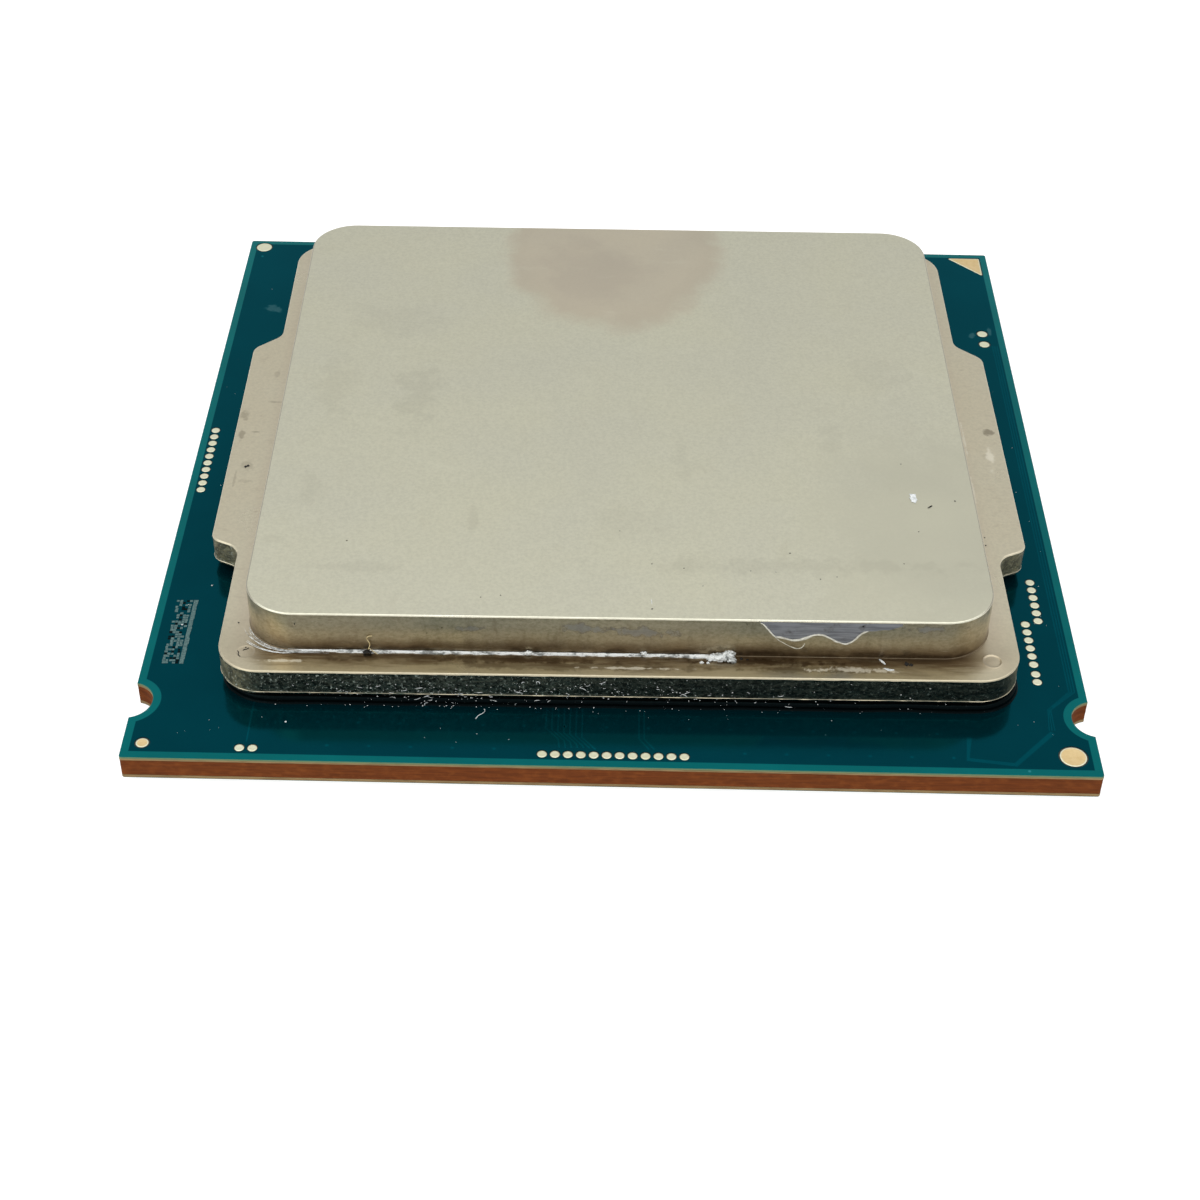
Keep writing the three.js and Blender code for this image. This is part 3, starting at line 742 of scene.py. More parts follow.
def rough_rings(shape, outline, levels, depth, seed, coarse, fine, fine_share, middle):
    """Rings round a worn wall. A level is an inset, a height and the share of depth that wear takes there.

    coarse and fine say how quickly each kind of wear changes, along the outline and upwards.
    """
    rings = []
    out = normals(outline)
    for inset, z, share in levels:
        ring = []
        for (x, y), (nx, ny) in zip(outline, out):
            wear = noise.noise(Vector((x * coarse[0], y * coarse[0], z * coarse[1] + seed)))
            wear += fine_share * noise.noise(Vector((x * fine[0], y * fine[0], z * fine[1] + seed)))
            back = inset + depth * share * (middle + wear)
            ring.append((x - nx * back, y - ny * back, z))
        rings.append(shape.ring(ring))
    return rings


def sawn_plate(name, node, finish, top_finish, steps, inset, roughness, seed):
    """One layer of the board, its edge sawn and its faces flat."""
    shape = Shape()
    bottom, top = low(node).z, high(node).z
    soft = 0.012
    levels = [(inset + soft, bottom), (inset, bottom + soft)]
    levels += [(inset, bottom + (top - bottom) * i / steps) for i in range(1, steps)]
    levels += [(inset, top - soft), (inset + soft, top)]
    levels = [(*level, 1.0) for level in levels]
    outline = resampled(board_outline(), step=0.2)
    shape.block(rough_rings(shape, outline, levels, roughness, seed, **SAWN), top=1)
    piece = shape.build(name, [finish, top_finish])
    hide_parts(node)
    return piece


def board_core():
    """The rust-brown core."""
    shape = dict(steps=7, inset=0.004, roughness=0.006, seed=1.0)
    sawn_plate("laminate_core", "core_laminate", CORE, CORE, **shape)


def board_buildups():
    """The thin build-ups on the core. The upper one's top shows dark round the pads."""
    shape = dict(steps=3, inset=0.0, roughness=0.004)
    sawn_plate("buildup_top", "upper_buildup", RESIN, DARK_RESIN, seed=5.0, **shape)
    sawn_plate("buildup_bottom", "lower_buildup", RESIN, RESIN, seed=9.0, **shape)


def pads_along(x, y, count, step_x, step_y):
    """The middles of a row of pads."""
    return [(x + i * step_x, y + i * step_y) for i in range(count)]


PAD_ROWS = {
    "front_test_pads": pads_along(-2.66, -18.12, 12, 0.495, 0.0),
    "front_left_test_pads": pads_along(-14.23, -18.11, 2, 0.5, 0.0),
    "left_test_pads": pads_along(-18.17, -2.09, 10, 0.0, 0.489),
    "right_outer_test_pads": pads_along(17.46, -9.77, 6, 0.0, 0.49),
    "right_inner_test_pads": [
        *pads_along(16.91, -12.45, 6, 0.0, 0.49),
        *pads_along(16.91, -13.49, 2, 0.0, 0.46),
    ],
}
DEEP_PADS = ["front_left_fiducial", "front_right_pad"]
PALE_PADS = ["back_left_pad", "right_edge_pad_back", "right_edge_pad_front"]


def pad_circle(node):
    """A round pad's middle and radius."""
    middle = (low(node) + high(node)) / 2
    return middle.x, middle.y, (high(node).x - low(node).x) / 2


def pin_one_outline(grow, radius):
    """The rounded triangle, its sides moved outwards by grow."""
    corner = high("pin_one_triangle").x + grow
    leg = high("pin_one_triangle").x - low("pin_one_triangle").x + grow * (2 + math.sqrt(2))
    return rounded_polygon([(corner, corner), (corner - leg, corner), (corner, corner - leg)], radius)


def openings():
    """The outlines of every opening in the top solder mask."""
    found = [circle(x, y, PAD_DIAMETER / 2 + CLEARANCE) for row in PAD_ROWS.values() for x, y in row]
    for node in DEEP_PADS + PALE_PADS:
        x, y, radius = pad_circle(node)
        found.append(circle(x, y, radius + 1.6 * CLEARANCE, steps=40))
    found.append(pin_one_outline(grow=1.2 * CLEARANCE, radius=0.08))
    return found


def mask_rings(shape, inner, outer):
    """Rings of a mask's edge, from its inner face to its outer one, with the outer edge rounded off."""
    soft = 0.006 if outer > inner else -0.006
    levels = [(0.012, inner), (0.012, outer - soft), (0.02, outer), (0.05, outer)]
    return [shape.flat_ring(board_outline(inset), z) for inset, z in levels]


def top_mask():
    """The lacquer on the board's top, cut through over every pad."""
    shape = Shape()
    rings = mask_rings(shape, BUILDUP_TOP, BOARD_TOP)
    shape.bridge(rings)
    holes = openings()
    tops = [shape.flat_ring(hole, BOARD_TOP) for hole in holes]
    feet = [shape.flat_ring(hole, BUILDUP_TOP) for hole in holes]
    for pair in zip(tops, feet):
        shape.bridge(pair)
    shape.fill(rings[-1], tops)
    shape.fill(rings[0], feet, up=False)
    piece = shape.build("solder_mask_top", [LACQUER])
    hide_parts("top_solder_mask")


def bottom_mask():
    """The lacquer under the board, between the lands."""
    shape = Shape()
    rings = mask_rings(shape, MASK_BOTTOM_TOP, BOARD_BOTTOM)
    shape.block(rings[::-1])
    piece = shape.build("solder_mask_bottom", [LACQUER])
    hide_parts("bottom_solder_mask")


def plated(shape, outline, bottom, top):
    """A thin plated pad: upright sides, a soft paler rim (finish 0) and a face (1) a little lower."""
    height = top - bottom
    rings = []
    for inset, z in ((0, bottom), (0, bottom + height * 0.6), (0.012, top), (0.05, top - height * 0.12)):
        inner = [(x - nx * inset, y - ny * inset) for (x, y), (nx, ny) in zip(outline, normals(outline))]
        rings.append(shape.flat_ring(inner, z))
    shape.block(rings if height > 0 else rings[::-1], bottom=1, top=1)


def top_pads():
    """The gold pads in the openings: rows of test pads, the round pads and the triangle."""
    top = BUILDUP_TOP + PLATING
    for name, places in PAD_ROWS.items():
        shape = Shape()
        for x, y in places:
            plated(shape, circle(x, y, PAD_DIAMETER / 2), BUILDUP_TOP, top)
        shape.build(name, [GOLD_RIM, GOLD_RIM])
    outlines = {node: circle(*pad_circle(node), steps=40) for node in DEEP_PADS + PALE_PADS}
    outlines["pin_one_triangle"] = pin_one_outline(grow=0.0, radius=0.05)
    for node, outline in outlines.items():
        shape = Shape()
        plated(shape, outline, BUILDUP_TOP, top)
        piece = shape.build(node + "_plating", [GOLD_RIM, GOLD_RIM if node in PALE_PADS else GOLD])
        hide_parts(node)


def neighbours(points, i):
    """The points before and after point i, or the point itself at an end."""
    return Vector(points[max(i - 1, 0)]), Vector(points[min(i + 1, len(points) - 1)])


def ribbon(shape, points, width):
    """A flat trace along points on the board, with sloping sides."""
    sides = []
    for i, (x, y) in enumerate(points):
        before, after = neighbours(points, i)
        along = (after - before).normalized()
        across = Vector((-along.y, along.x))
        base, top = across * (width / 2 + TRACE_HEIGHT), across * width / 2
        feet, tops = BOARD_TOP, BOARD_TOP + TRACE_HEIGHT
        corners = ((base, feet), (top, tops), (-top, tops), (-base, feet))
        sides.append(shape.ring([(x + side.x, y + side.y, z) for side, z in corners]))
    shape.tube(sides)


def raised(shape, outline, finish=0):
    """A flat figure, as high as a trace, on the board."""
    rings = [shape.flat_ring(outline, z) for z in (BOARD_TOP, BOARD_TOP + TRACE_HEIGHT)]
    shape.block(rings, finish, finish, finish)


def traces():
    """Copper traces and vias that show as faint ridges and dots under the lacquer."""
    shape = Shape()
    start, end = -15.2, -17.78  # where the front traces come out from under the lid, and where they stop
    for i in range(7):
        x, bend = -2.56 + 0.235 * i, -16.7 - 0.08 * i
        ribbon(shape, [(x, start), (x, bend), (x + 0.5, bend - 0.6), (x + 0.55, end)], 0.06)
    for x in (1.05, 1.25):
        ribbon(shape, [(x, start), (x, -17.2), (x + 0.4, end)], 0.06)
    for i in range(3):
        x = 18.3 - 0.11 * i
        ribbon(shape, [(x, 10.4), (x, -14.05), (x - 1.1 + 0.06 * i, -15.1), (x - 1.1, -16.3)], 0.05)
    ribbon(shape, [(13.82, -16.75), (13.64, -17.96), (15.44, -18.2), (17.1, -16.4)], 0.2)
    ribbon(shape, [(-14.0, start), (-14.0, -17.8)], 0.06)
    vias = [(3.0 + 1.6 * i, -16.6) for i in range(-9, 7)]
    vias += [(3.5 + 1.6 * i, -17.9) for i in (*range(-9, -4), *range(1, 7))]
    for x, y in vias:
        raised(shape, circle(x, y, VIA_RADIUS, steps=12))
    shape.build("mask_traces", [TRACE])


def code_block():
    """A small etched block of random cells by the left edge, with a solid bar down its inner side."""
    shape = Shape()
    draw = random.Random(11)
    left, bottom, cell = -17.98, -13.43, 0.13
    columns, rows = 5, 30
    etched_share, gap_share = 0.55, 0.14

    def cell_box(x, y, width, length, finish=0):
        raised(shape, [(x, y), (x + width, y), (x + width, y + length), (x, y + length)], finish)

    for row in range(rows):
        for column in range(columns):
            chance = draw.random()
            x = left + column * cell + draw.uniform(-0.012, 0.012)
            y = bottom + row * cell
            width, length = (cell * draw.uniform(0.75, 1.0) for _ in range(2))
            if chance < etched_share:
                cell_box(x, y, width, length)
            elif chance > 1 - gap_share:
                cell_box(x, y, width, length, finish=1)
    bar = left + columns * cell + 0.04
    for row in range(rows):
        cell_box(bar, bottom + row * cell, 0.17 + draw.uniform(-0.02, 0.02), cell * 0.98)
    shape.build("code_block", [ETCH, VOID], sharp=20)


def lands():
    """The contact lands: a square grid without the window in its middle and the places at the notches."""
    shape = Shape()
    half = (LAND_PLACES - 1) / 2
    for row in range(LAND_PLACES):
        for column in range(LAND_PLACES):
            x, y = (column - half) * LAND_PITCH, (row - half) * LAND_PITCH
            in_window = abs(x) < WINDOW[0] / 2 * LAND_PITCH and abs(y) < WINDOW[1] / 2 * LAND_PITCH
            at_notch = column in (0, LAND_PLACES - 1) and any(abs(y - r) < 0.2 for r in NOTCH_ROWS)
            if not in_window and not at_notch:
                plated(shape, circle(x, y, LAND_DIAMETER / 2, steps=14), BOARD_BOTTOM, LAND_BOTTOM)
    piece = shape.build("contact_lands", [LAND_GOLD, LAND_GOLD])
    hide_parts("land_field")


def capacitor_shape():
    """A chip capacitor lying along Y: a ceramic body between two fuller, rounded, tinned ends."""
    shape = Shape()
    half_length, half_width = 0.5, 0.25
    end = ((0.0, 0.19), (0.02, 0.225), (0.05, 0.245), (0.23, half_width), (0.25, 0.245), (0.255, 0.225))
    profile = [(along - half_length, half) for along, half in end]
    profile += [(-y, half) for y, half in reversed(profile)]
    rings = []
    for y, half in profile:
        section = rounded_rectangle(half, half, radius=0.06, steps=4)
        rings.append(shape.ring([(x, y, half_width + z) for x, z in reversed(section)]))
    tinned = len(end) - 1
    shape.bands(rings, ((tinned, 0), (1, 1), (tinned, 0)))
    shape.face(reversed(rings[0]))
    shape.face(rings[-1])
    return shape


def capacitors():
    """One mesh, shown at the middle of each capacitor's node."""
    shape, mesh = capacitor_shape(), None
    for node in sorted(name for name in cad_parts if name.startswith("land_side_capacitor")):
        middle = (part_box(node)[0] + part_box(node)[1]) / 2
        place = Matrix.Translation((middle.x, middle.y, 0))
        name = "chip_" + node
        piece = show(name, mesh, place) if mesh else shape.build(name, [TIN, CERAMIC], place)
        mesh = piece.data
        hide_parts(node)


# ---------------------------------------------------------------- heat spreader

PLATEAU, FLANGE, WALL, SHEARED, EDGE = range(5)  # the numbers of its finishes


def dimple(shape, x, y, depth):
    """A round press mark in the flange's top. Returns its outer ring, which the flange's top is cut to."""
    profile = [(radius, FLANGE_TOP + depth * rise) for radius, rise in DIMPLE_PROFILE]
    rings = [shape.flat_ring(circle(x, y, radius, steps=40), z) for radius, z in profile]
    shape.bridge(rings, FLANGE)
    shape.fill(rings[-1], finish=FLANGE)
    return rings[0]


def upright(bottom, top, gap, steps=9):
    """Levels of a straight wall that stays a gap clear of what is below and above, worn all over."""
    bottom, top = bottom + gap, top - gap
    return [(0.0, bottom + (top - bottom) * i / steps, 1.0) for i in range(steps + 1)]


def rounded_top(top, radius):
    """Levels over a wall's rounded top edge, and one more ring for the rim inside it."""
    levels = [(inset, top - rise, 0.0) for inset, rise in reversed(quarter_round(radius))]
    return levels + [(radius + RIM, top, 0.0)]


def flange_sides(shape):
    """The flange's sheared outline, with the shear's lip low down. Returns its lowest and highest rings."""
    bottom = LID_BOTTOM + FLANGE_BOTTOM_RADIUS
    levels = [(inset, LID_BOTTOM + rise, 0.0) for inset, rise in quarter_round(FLANGE_BOTTOM_RADIUS)]
    levels += [(-reach, bottom + rise, tear) for reach, rise, tear in BURR]
    levels += upright(bottom + BURR[-1][1], FLANGE_TOP - FLANGE_TOP_RADIUS, gap=0.03)
    levels += rounded_top(FLANGE_TOP, FLANGE_TOP_RADIUS)
    outline = resampled(flange_outline(), step=0.14)
    rings = rough_rings(shape, outline, levels, depth=0.012, seed=3.0, **TORN)
    shape.bands(rings, ((5, SHEARED), (2, FLANGE), (11, SHEARED), (5, FLANGE)))
    return rings[0], rings[-1]


def plateau(shape):
    """The plateau's walls, rounded edge and top. Returns the ring at its foot."""
    outline = resampled(rounded_rectangle(*PLATEAU_HALF, PLATEAU_CORNER_RADIUS), step=0.14)
    radius = PLATEAU_FOOT_RADIUS
    bottom = FLANGE_TOP + radius
    levels = [(rise - radius, bottom - inset, 0.0) for inset, rise in quarter_round(radius)]
    levels += upright(bottom, LID_TOP - PLATEAU_EDGE_RADIUS, gap=0.05)
    levels += rounded_top(LID_TOP, PLATEAU_EDGE_RADIUS)
    rings = rough_rings(shape, outline, levels, depth=0.004, seed=8.0, **TORN)
    shape.bands(rings, ((15, WALL), (4, EDGE), (1, PLATEAU)))
    shape.fill(rings[-1], finish=PLATEAU)
    return rings[0]


def heat_spreader():
    """The lid in one mesh: flange, plateau, press marks, and the cavity underneath."""
    shape = Shape()
    foot, rim = flange_sides(shape)
    plateau_foot = plateau(shape)
    marks = [dimple(shape, *place) for place in DIMPLES]
    shape.fill(rim, [plateau_foot, *marks], finish=FLANGE)

    cavity = rounded_rectangle(CAVITY_HALF, CAVITY_HALF, CAVITY_CORNER_RADIUS)
    mouth = shape.flat_ring(cavity, LID_BOTTOM)
    ceiling = shape.flat_ring(cavity, LID_BOTTOM + CAVITY_DEPTH)
    shape.bridge((ceiling, mouth), FLANGE)
    shape.fill(ceiling, finish=FLANGE, up=False)
    shape.fill(foot, [mouth], finish=FLANGE, up=False)
    finishes = [nickel_top(), nickel_flange(), nickel_wall(), nickel_sheared(), nickel_edge_painted_highlight()]
    piece = shape.build("heat_spreader_lid", finishes, LID_PLACE)
    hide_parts("heat_spreader")


def sealant():
    """The silicone bead, squeezed out a little under the rim, and open at the back.

    Its section is a list of reach and share of the height: inner under the lid, and outer where it shows.
    """
    shape = Shape()
    height = LID_BOTTOM - BOARD_TOP
    back = FLANGE_HALF[1] - 0.1
    outline = resampled(rounded_rectangle(*FLANGE_HALF, FLANGE_CORNER_RADIUS), step=0.2)
    outline = [(x, y) for x, y in outline if abs(x) >= SEALANT_GAP_HALF or y <= back]
    start = next(i for i, (x, y) in enumerate(outline) if x < 0 and y > back)
    outline = outline[start:] + outline[:start]
    inner = ((-2.2, 0.0), (-2.2, 1.0))
    outer = ((-0.16, 1.0), (-0.06, 0.98), (0.02, 0.88), (0.07, 0.66),
             (0.08, 0.45), (0.07, 0.25), (0.1, 0.1), (0.14, 0.0))
    sections = []
    for (x, y), (nx, ny) in zip(outline, normals(outline)):
        swell = 0.045 * noise.noise(Vector((x * 0.5, y * 0.5, 2.0)))
        swell += 0.012 * noise.noise(Vector((x * 3, y * 3, 5.0)))
        tucked = 0.2 * min(1.0, max(0.0, (-x - 13.6) / 1.5))  # it stays further in towards the left
        section = [*inner, *((reach + swell - tucked, share) for reach, share in outer)]
        points = [(x + nx * reach, y + ny * reach, BOARD_TOP + height * share) for reach, share in section]
        sections.append(shape.ring(points))
    shape.tube(sections[::-1])
    piece = shape.build("sealant_bead", [silicone()], LID_PLACE, sharp=60)
    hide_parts("lid_sealant")


# ---------------------------------------------------------------- residue and dust


def at_height(points, z):
    """Level points, given as X and Y."""
    return [(x, y, z) for x, y in points]


def off_front(points):
    """Points given as X, how far they are out from the plateau's front wall, and height."""
    return [(x, PLATEAU_FRONT - out, z) for x, out, z in points]


def bead(shape, path, size_at, lift):
    """A rounded bead along path, whose points pair a place at a wall's foot with the way out from it."""
    sections = []
    steps = 8
    for i, ((x, y), (nx, ny)) in enumerate(path):
        size = size_at(i, x)
        section = []
        for step in range(steps + 1):
            angle = math.pi * step / steps
            jag = 1 + 0.2 * noise.noise(Vector((x * 3, step * 0.9, 7.0)))
            reach = size * (1 - math.cos(angle)) * 0.7 * jag - 0.02
            rise = size * math.sin(angle) * 0.8 * jag + (1 - step / steps) * lift
            section.append((x + nx * reach, y + ny * reach, FLANGE_TOP - 0.003 + rise))
        sections.append(shape.ring(section))
    shape.tube(sections[::-1])


def lump(shape, x, y, z, size, seed):
    """A crumpled lump of dried paste, longer than it is wide."""
    rings = []
    levels, steps = 12, 20
    shift = Vector((seed, 0, 0))
    for level in range(1, levels):
        tilt = math.pi * level / levels
        ring = []
        for step in range(steps):
            turn = math.tau * step / steps
            way = Vector((math.sin(tilt) * math.cos(turn), math.sin(tilt) * math.sin(turn), -math.cos(tilt)))
            far = size * (1 + 0.6 * noise.noise(way * 2.1 + shift) + 0.3 * noise.noise(way * 6 + shift))
            ring.append((x + way.x * far * 1.5, y + way.y * far, z + way.z * far))
        rings.append(shape.ring(ring))
    shape.tube(rings)


# Lumps on the bead: X, distance out from the wall, height over the flange, and size
PASTE_LUMPS = ((3.95, 0.18, 0.1, 0.19), (4.28, 0.14, 0.2, 0.15), (3.62, 0.18, 0.06, 0.14),
               (4.38, 0.3, 0.05, 0.11), (3.2, 0.42, 0.02, 0.05), (3.45, 0.44, 0.02, 0.04),
               (-3.55, 0.1, 0.12, 0.08), (0.95, 0.08, 0.14, 0.08))


def paste_bead():
    """Dried paste along the foot of the plateau's front wall, lumpy at its right end."""
    shape = Shape()
    gap = 0.02
    thickest = 3.1
    half_x, half_y = (half + gap for half in PLATEAU_HALF)
    outline = resampled(rounded_rectangle(half_x, half_y, PLATEAU_CORNER_RADIUS), step=0.08)
    front = -13.9  # what is further back isn't on the front wall or its corners
    both = zip(outline, normals(outline))
    path = [(place, away) for place, away in both if place[1] < front and BEAD_START < place[0] < BEAD_END]

    def size_at(i, x):
        ends = min(1.0, i / 30, (len(path) - 1 - i) / 4)
        ripple = noise.noise(Vector((x * 0.9, 0, 1.0))) + 0.6 * noise.noise(Vector((x * 4, 0, 4.0)))
        ripple += 0.6 * noise.noise(Vector((x * 11, 0, 6.0)))
        return ends * (0.086 + 0.03 * ripple + 0.05 * max(0.0, 1 - abs(x - thickest) / 0.8))

    bead(shape, path, size_at, lift=0.05)
    for i, (x, out, rise, size) in enumerate(PASTE_LUMPS):
        lump(shape, x, PLATEAU_FRONT - out, FLANGE_TOP + rise, size, i * 3.1)
    shape.build("paste_at_wall_foot", [PASTE], LID_PLACE, sharp=70)


def frayed_paste():
    """Thin strands that the bead frays into round the plateau's front left corner."""
    shape = Shape()
    draw = random.Random(8)
    x, y = (PLATEAU_CORNER_RADIUS - half for half in PLATEAU_HALF)
    steps = 24
    for strand in range(7):
        spread = 0.03 + 0.06 * strand
        end = draw.uniform(188, 236)
        points = [(x + draw.uniform(0.2, 1.4), PLATEAU_FRONT - 0.04 - spread * 0.3)]
        for i in range(steps + 1):
            share = i / steps
            radius = PLATEAU_CORNER_RADIUS + 0.04 + spread * (0.3 + share * 0.9) + draw.uniform(-0.006, 0.006)
            points.append(at_angle(x, y, radius, 270 + (end - 270) * share))
        fibre(shape, at_height(points, FLANGE_TOP + 0.008), draw.uniform(0.008, 0.02), flat=0.5)
    shape.build("frayed_paste", [PASTE], LID_PLACE, sharp=80)


# The film's wavy lower edge, in X and Z, and the curl that broke from its lip
FILM_EDGE = ((5.4, 4.92), (6.1, 4.23), (6.8, 4.08), (7.7, 4.38),
             (8.8, 3.92), (9.6, 4.57), (10.4, 4.66), (11.0, 4.86))
FILM_CURL = ((5.76, 4.62), (6.0, 4.2), (6.35, 3.93), (6.7, 3.7), (6.96, 3.62), (7.12, 3.7), (7.2, 3.9))


def film_edge(x):
    """Height of the film's lower edge."""
    for (ax, az), (bx, bz) in zip(FILM_EDGE, FILM_EDGE[1:]):
        if x <= bx:
            share = (1 - math.cos(math.pi * (x - ax) / (bx - ax))) / 2
            return az + (bz - az) * share + 0.03 * noise.noise(Vector((x * 4, 0, 9)))


def wall_film():
    """Paste wiped up the front wall, with a raised lip along its lower edge and a curl that broke from it."""
    film_shape, lip_shape = Shape(), Shape()
    top = LID_TOP - PLATEAU_EDGE_RADIUS - 0.03
    steps, rows = 80, 4
    lip, sections = [], []
    for i in range(steps + 1):
        x = FILM_START + (FILM_END - FILM_START) * i / steps
        edge = min(film_edge(x), top - 0.02)
        lip.append((x, PLATEAU_FRONT - 0.012, edge))
        heights = [edge + (top - edge) * row / rows for row in range(rows + 1)]
        outer = [(x, PLATEAU_FRONT - 0.008, z) for z in heights]
        inner = [(x, PLATEAU_FRONT + 0.02, z) for z in reversed(heights)]
        sections.append(film_shape.ring(outer + inner))
    film_shape.tube(sections)
    film_shape.build("wiped_film", [FILM], LID_PLACE, sharp=60)

    fibre(lip_shape, lip[:62], radius=0.055, flat=0.6)
    second = [(x + 0.05, y - 0.01, z - 0.05) for x, y, z in lip[8:30]]
    fibre(lip_shape, second, radius=0.02, flat=0.6)
    curl = smoothed(off_front([(x, 0.015, z) for x, z in FILM_CURL]), rounds=3)
    fibre(lip_shape, curl, radius=0.022, flat=0.6)
    lip_shape.build("film_lip", [LIP], LID_PLACE, sharp=80)


def crumb(shape, x, y, z, size, draw, finish=0, tall=1.0):
    """An irregular eight-sided grain, lower than it is wide where tall is under 1."""
    *reach, top_reach, _ = (size * draw.uniform(0.6, 1.2) for _ in range(6))
    turn = draw.uniform(0, math.tau)
    angles = [turn + i * math.pi / 2 for i in range(4)]
    waist = z + size * 0.3 * tall
    ring = shape.ring([(x + r * math.cos(a), y + r * math.sin(a), waist) for r, a in zip(reach, angles)])
    top, bottom = shape.ring([(x, y, z + (size * 0.3 + top_reach * 0.6) * tall), (x, y, z)])
    for i, j in zip(ring, ring[1:] + ring[:1]):
        shape.face((i, j, top), finish)
        shape.face((j, i, bottom), finish)


def fibre(shape, points, radius, flat=1.0, finish=0):
    """A fine hair along points. flat squashes its section towards whatever it lies on."""
    rings = []
    sides = 6
    last = len(points) - 1
    for i, point in enumerate(points):
        before, after = neighbours(points, i)
        along = (after - before).normalized()
        side = along.cross(UP).normalized()
        rise = side.cross(along)
        thin = radius * min(1.0, 0.3 + 0.35 * i, 0.3 + 0.35 * (last - i))
        thin *= 1 + 0.4 * noise.noise(Vector(point) * 5)
        ring = []
        for step in range(sides):
            angle = math.tau * step / sides
            reach = side * math.cos(angle) * thin + rise * math.sin(angle) * thin * flat
            ring.append(tuple(Vector(point) + reach))
        rings.append(shape.ring(ring))
    shape.tube(rings, finish)


def curly(draw, start, length, bend):
    """Points of a short hair that wanders level from start."""
    x, y, z = start
    heading = draw.uniform(-0.6, 0.6) + draw.choice((0, math.pi))
    curl = draw.uniform(-bend, bend)
    steps = 8
    points = []
    for _ in range(steps + 1):
        points.append((x, y, z))
        x += math.cos(heading) * length / steps
        y += math.sin(heading) * length / steps
        heading += curl + draw.uniform(-0.2, 0.2)
    return points


def front_wall(x):
    """Where the flange's front wall is, in the board's frame."""
    return LID_SHIFT[1] - FLANGE_HALF[1] + x * math.tan(LID_TURN)


BOARD_GRAINS = dict(along_wall=60, in_front=24, beside_lid=22)
WALL_GRAINS = dict(on_wall=130, on_sealant=90, hairs=56)


def board_dust(shape, draw):
    """White grains on the board: along the front wall, in front of it, and beside the lid."""
    for _ in range(BOARD_GRAINS["along_wall"]):
        x = draw.triangular(-14.8, 15.0, -7.0)
        out = 0.1 + abs(draw.gauss(0, 0.09))
        crumb(shape, x, front_wall(x) - out, BOARD_TOP, draw.uniform(0.015, 0.035), draw)
    for _ in range(BOARD_GRAINS["in_front"]):
        x, y = draw.uniform(-17.8, 18.0), draw.uniform(-17.6, -15.6)
        crumb(shape, x, y, BOARD_TOP, draw.uniform(0.01, 0.022), draw)
    for _ in range(BOARD_GRAINS["beside_lid"]):
        side = draw.choice((-1, 1))
        x, y = side * draw.uniform(17.1, 18.2), draw.uniform(-14.0, 15.0)
        crumb(shape, x, y, BOARD_TOP, draw.uniform(0.01, 0.03), draw)
    for x, y, size in ((-17.54, -11.1, 0.05), (-16.7, -8.6, 0.05), (-12.63, -16.66, 0.06)):
        crumb(shape, x, y, BOARD_TOP, size, draw)


def wall_dust(shape, draw):
    """White grains and hairs on the front wall and on the sealant under it."""
    foot = LID_BOTTOM + FLANGE_BOTTOM_RADIUS
    for _ in range(WALL_GRAINS["on_wall"]):
        x = draw.triangular(-14.4, 14.6, -8.0)
        z = foot + abs(draw.gauss(0, 0.4))
        if z < FLANGE_TOP - 0.1:
            crumb(shape, x, front_wall(x), z, draw.uniform(0.015, 0.04), draw)
    for _ in range(WALL_GRAINS["on_sealant"]):
        x = draw.triangular(-14.6, 14.8, -7.0)
        z = draw.uniform(BOARD_TOP + 0.02, foot)
        crumb(shape, x, front_wall(x) - 0.06, z, draw.uniform(0.012, 0.036), draw)
    for _ in range(WALL_GRAINS["hairs"]):
        x = draw.triangular(-14.0, 9.0, -8.0)
        z = draw.uniform(BOARD_TOP + 0.05, foot + 0.8)
        out = 0.1 if z < foot - 0.1 else 0.03
        hair = curly(draw, (x, 0.0, z), draw.uniform(0.1, 0.38), 0.35)
        near = front_wall(x) - out * 0.5
        hung = [(hx, near + min((hy - out) * 0.2, 0), z + hy * 0.5) for hx, hy, _ in hair]
        fibre(shape, hung, draw.uniform(0.007, 0.013))


def dust():
    """White grains and hairs, and one long hair on the board."""
    shape = Shape()
    draw = random.Random(5)
    board_dust(shape, draw)
    wall_dust(shape, draw)
    hair = [(-5.3, -16.3), (-5.22, -16.1), (-5.05, -15.98), (-4.95, -15.85), (-5.0, -15.7)]
    fibre(shape, smoothed(at_height(hair, BOARD_TOP + 0.02), rounds=2), radius=0.016)
    shape.build("dust_grains", [DUST], sharp=80)


# Grit on the heat spreader, each grain with its place and size
PLATEAU_GRIT = ((13.84, -6.79, 0.05), (12.12, -8.85, 0.04), (11.31, -10.91, 0.04), (11.85, -4.3, 0.04),
                (1.23, -13.88, 0.05), (-4.68, -13.19, 0.04), (1.26, -11.14, 0.03), (3.25, -12.46, 0.03),
                (8.57, -11.79, 0.03), (2.53, -11.38, 0.035), (5.18, -11.49, 0.035), (6.17, -11.54, 0.03),
                (6.8, -10.34, 0.04), (7.91, -11.94, 0.035), (-0.01, -9.07, 0.03))
FLANGE_GRIT = ((-16.05, -2.6, 0.1), (-16.15, -2.66, 0.08), (15.3, -6.84, 0.04), (15.28, -7.35, 0.05),
               (11.2, -14.8, 0.13), (11.4, -14.86, 0.1), (-15.1, -12.9, 0.05), (-14.62, -14.36, 0.05),
               (4.75, -14.62, 0.09), (5.0, -14.66, 0.07))
WALL_GRIT = ((-12.6, 4.55, 0.05), (4.9, 4.85, 0.03), (9.4, 4.84, 0.06), (-7.5, 4.2, 0.03))
DARK, WHITE, DRY = range(3)  # the finishes of grit and strands
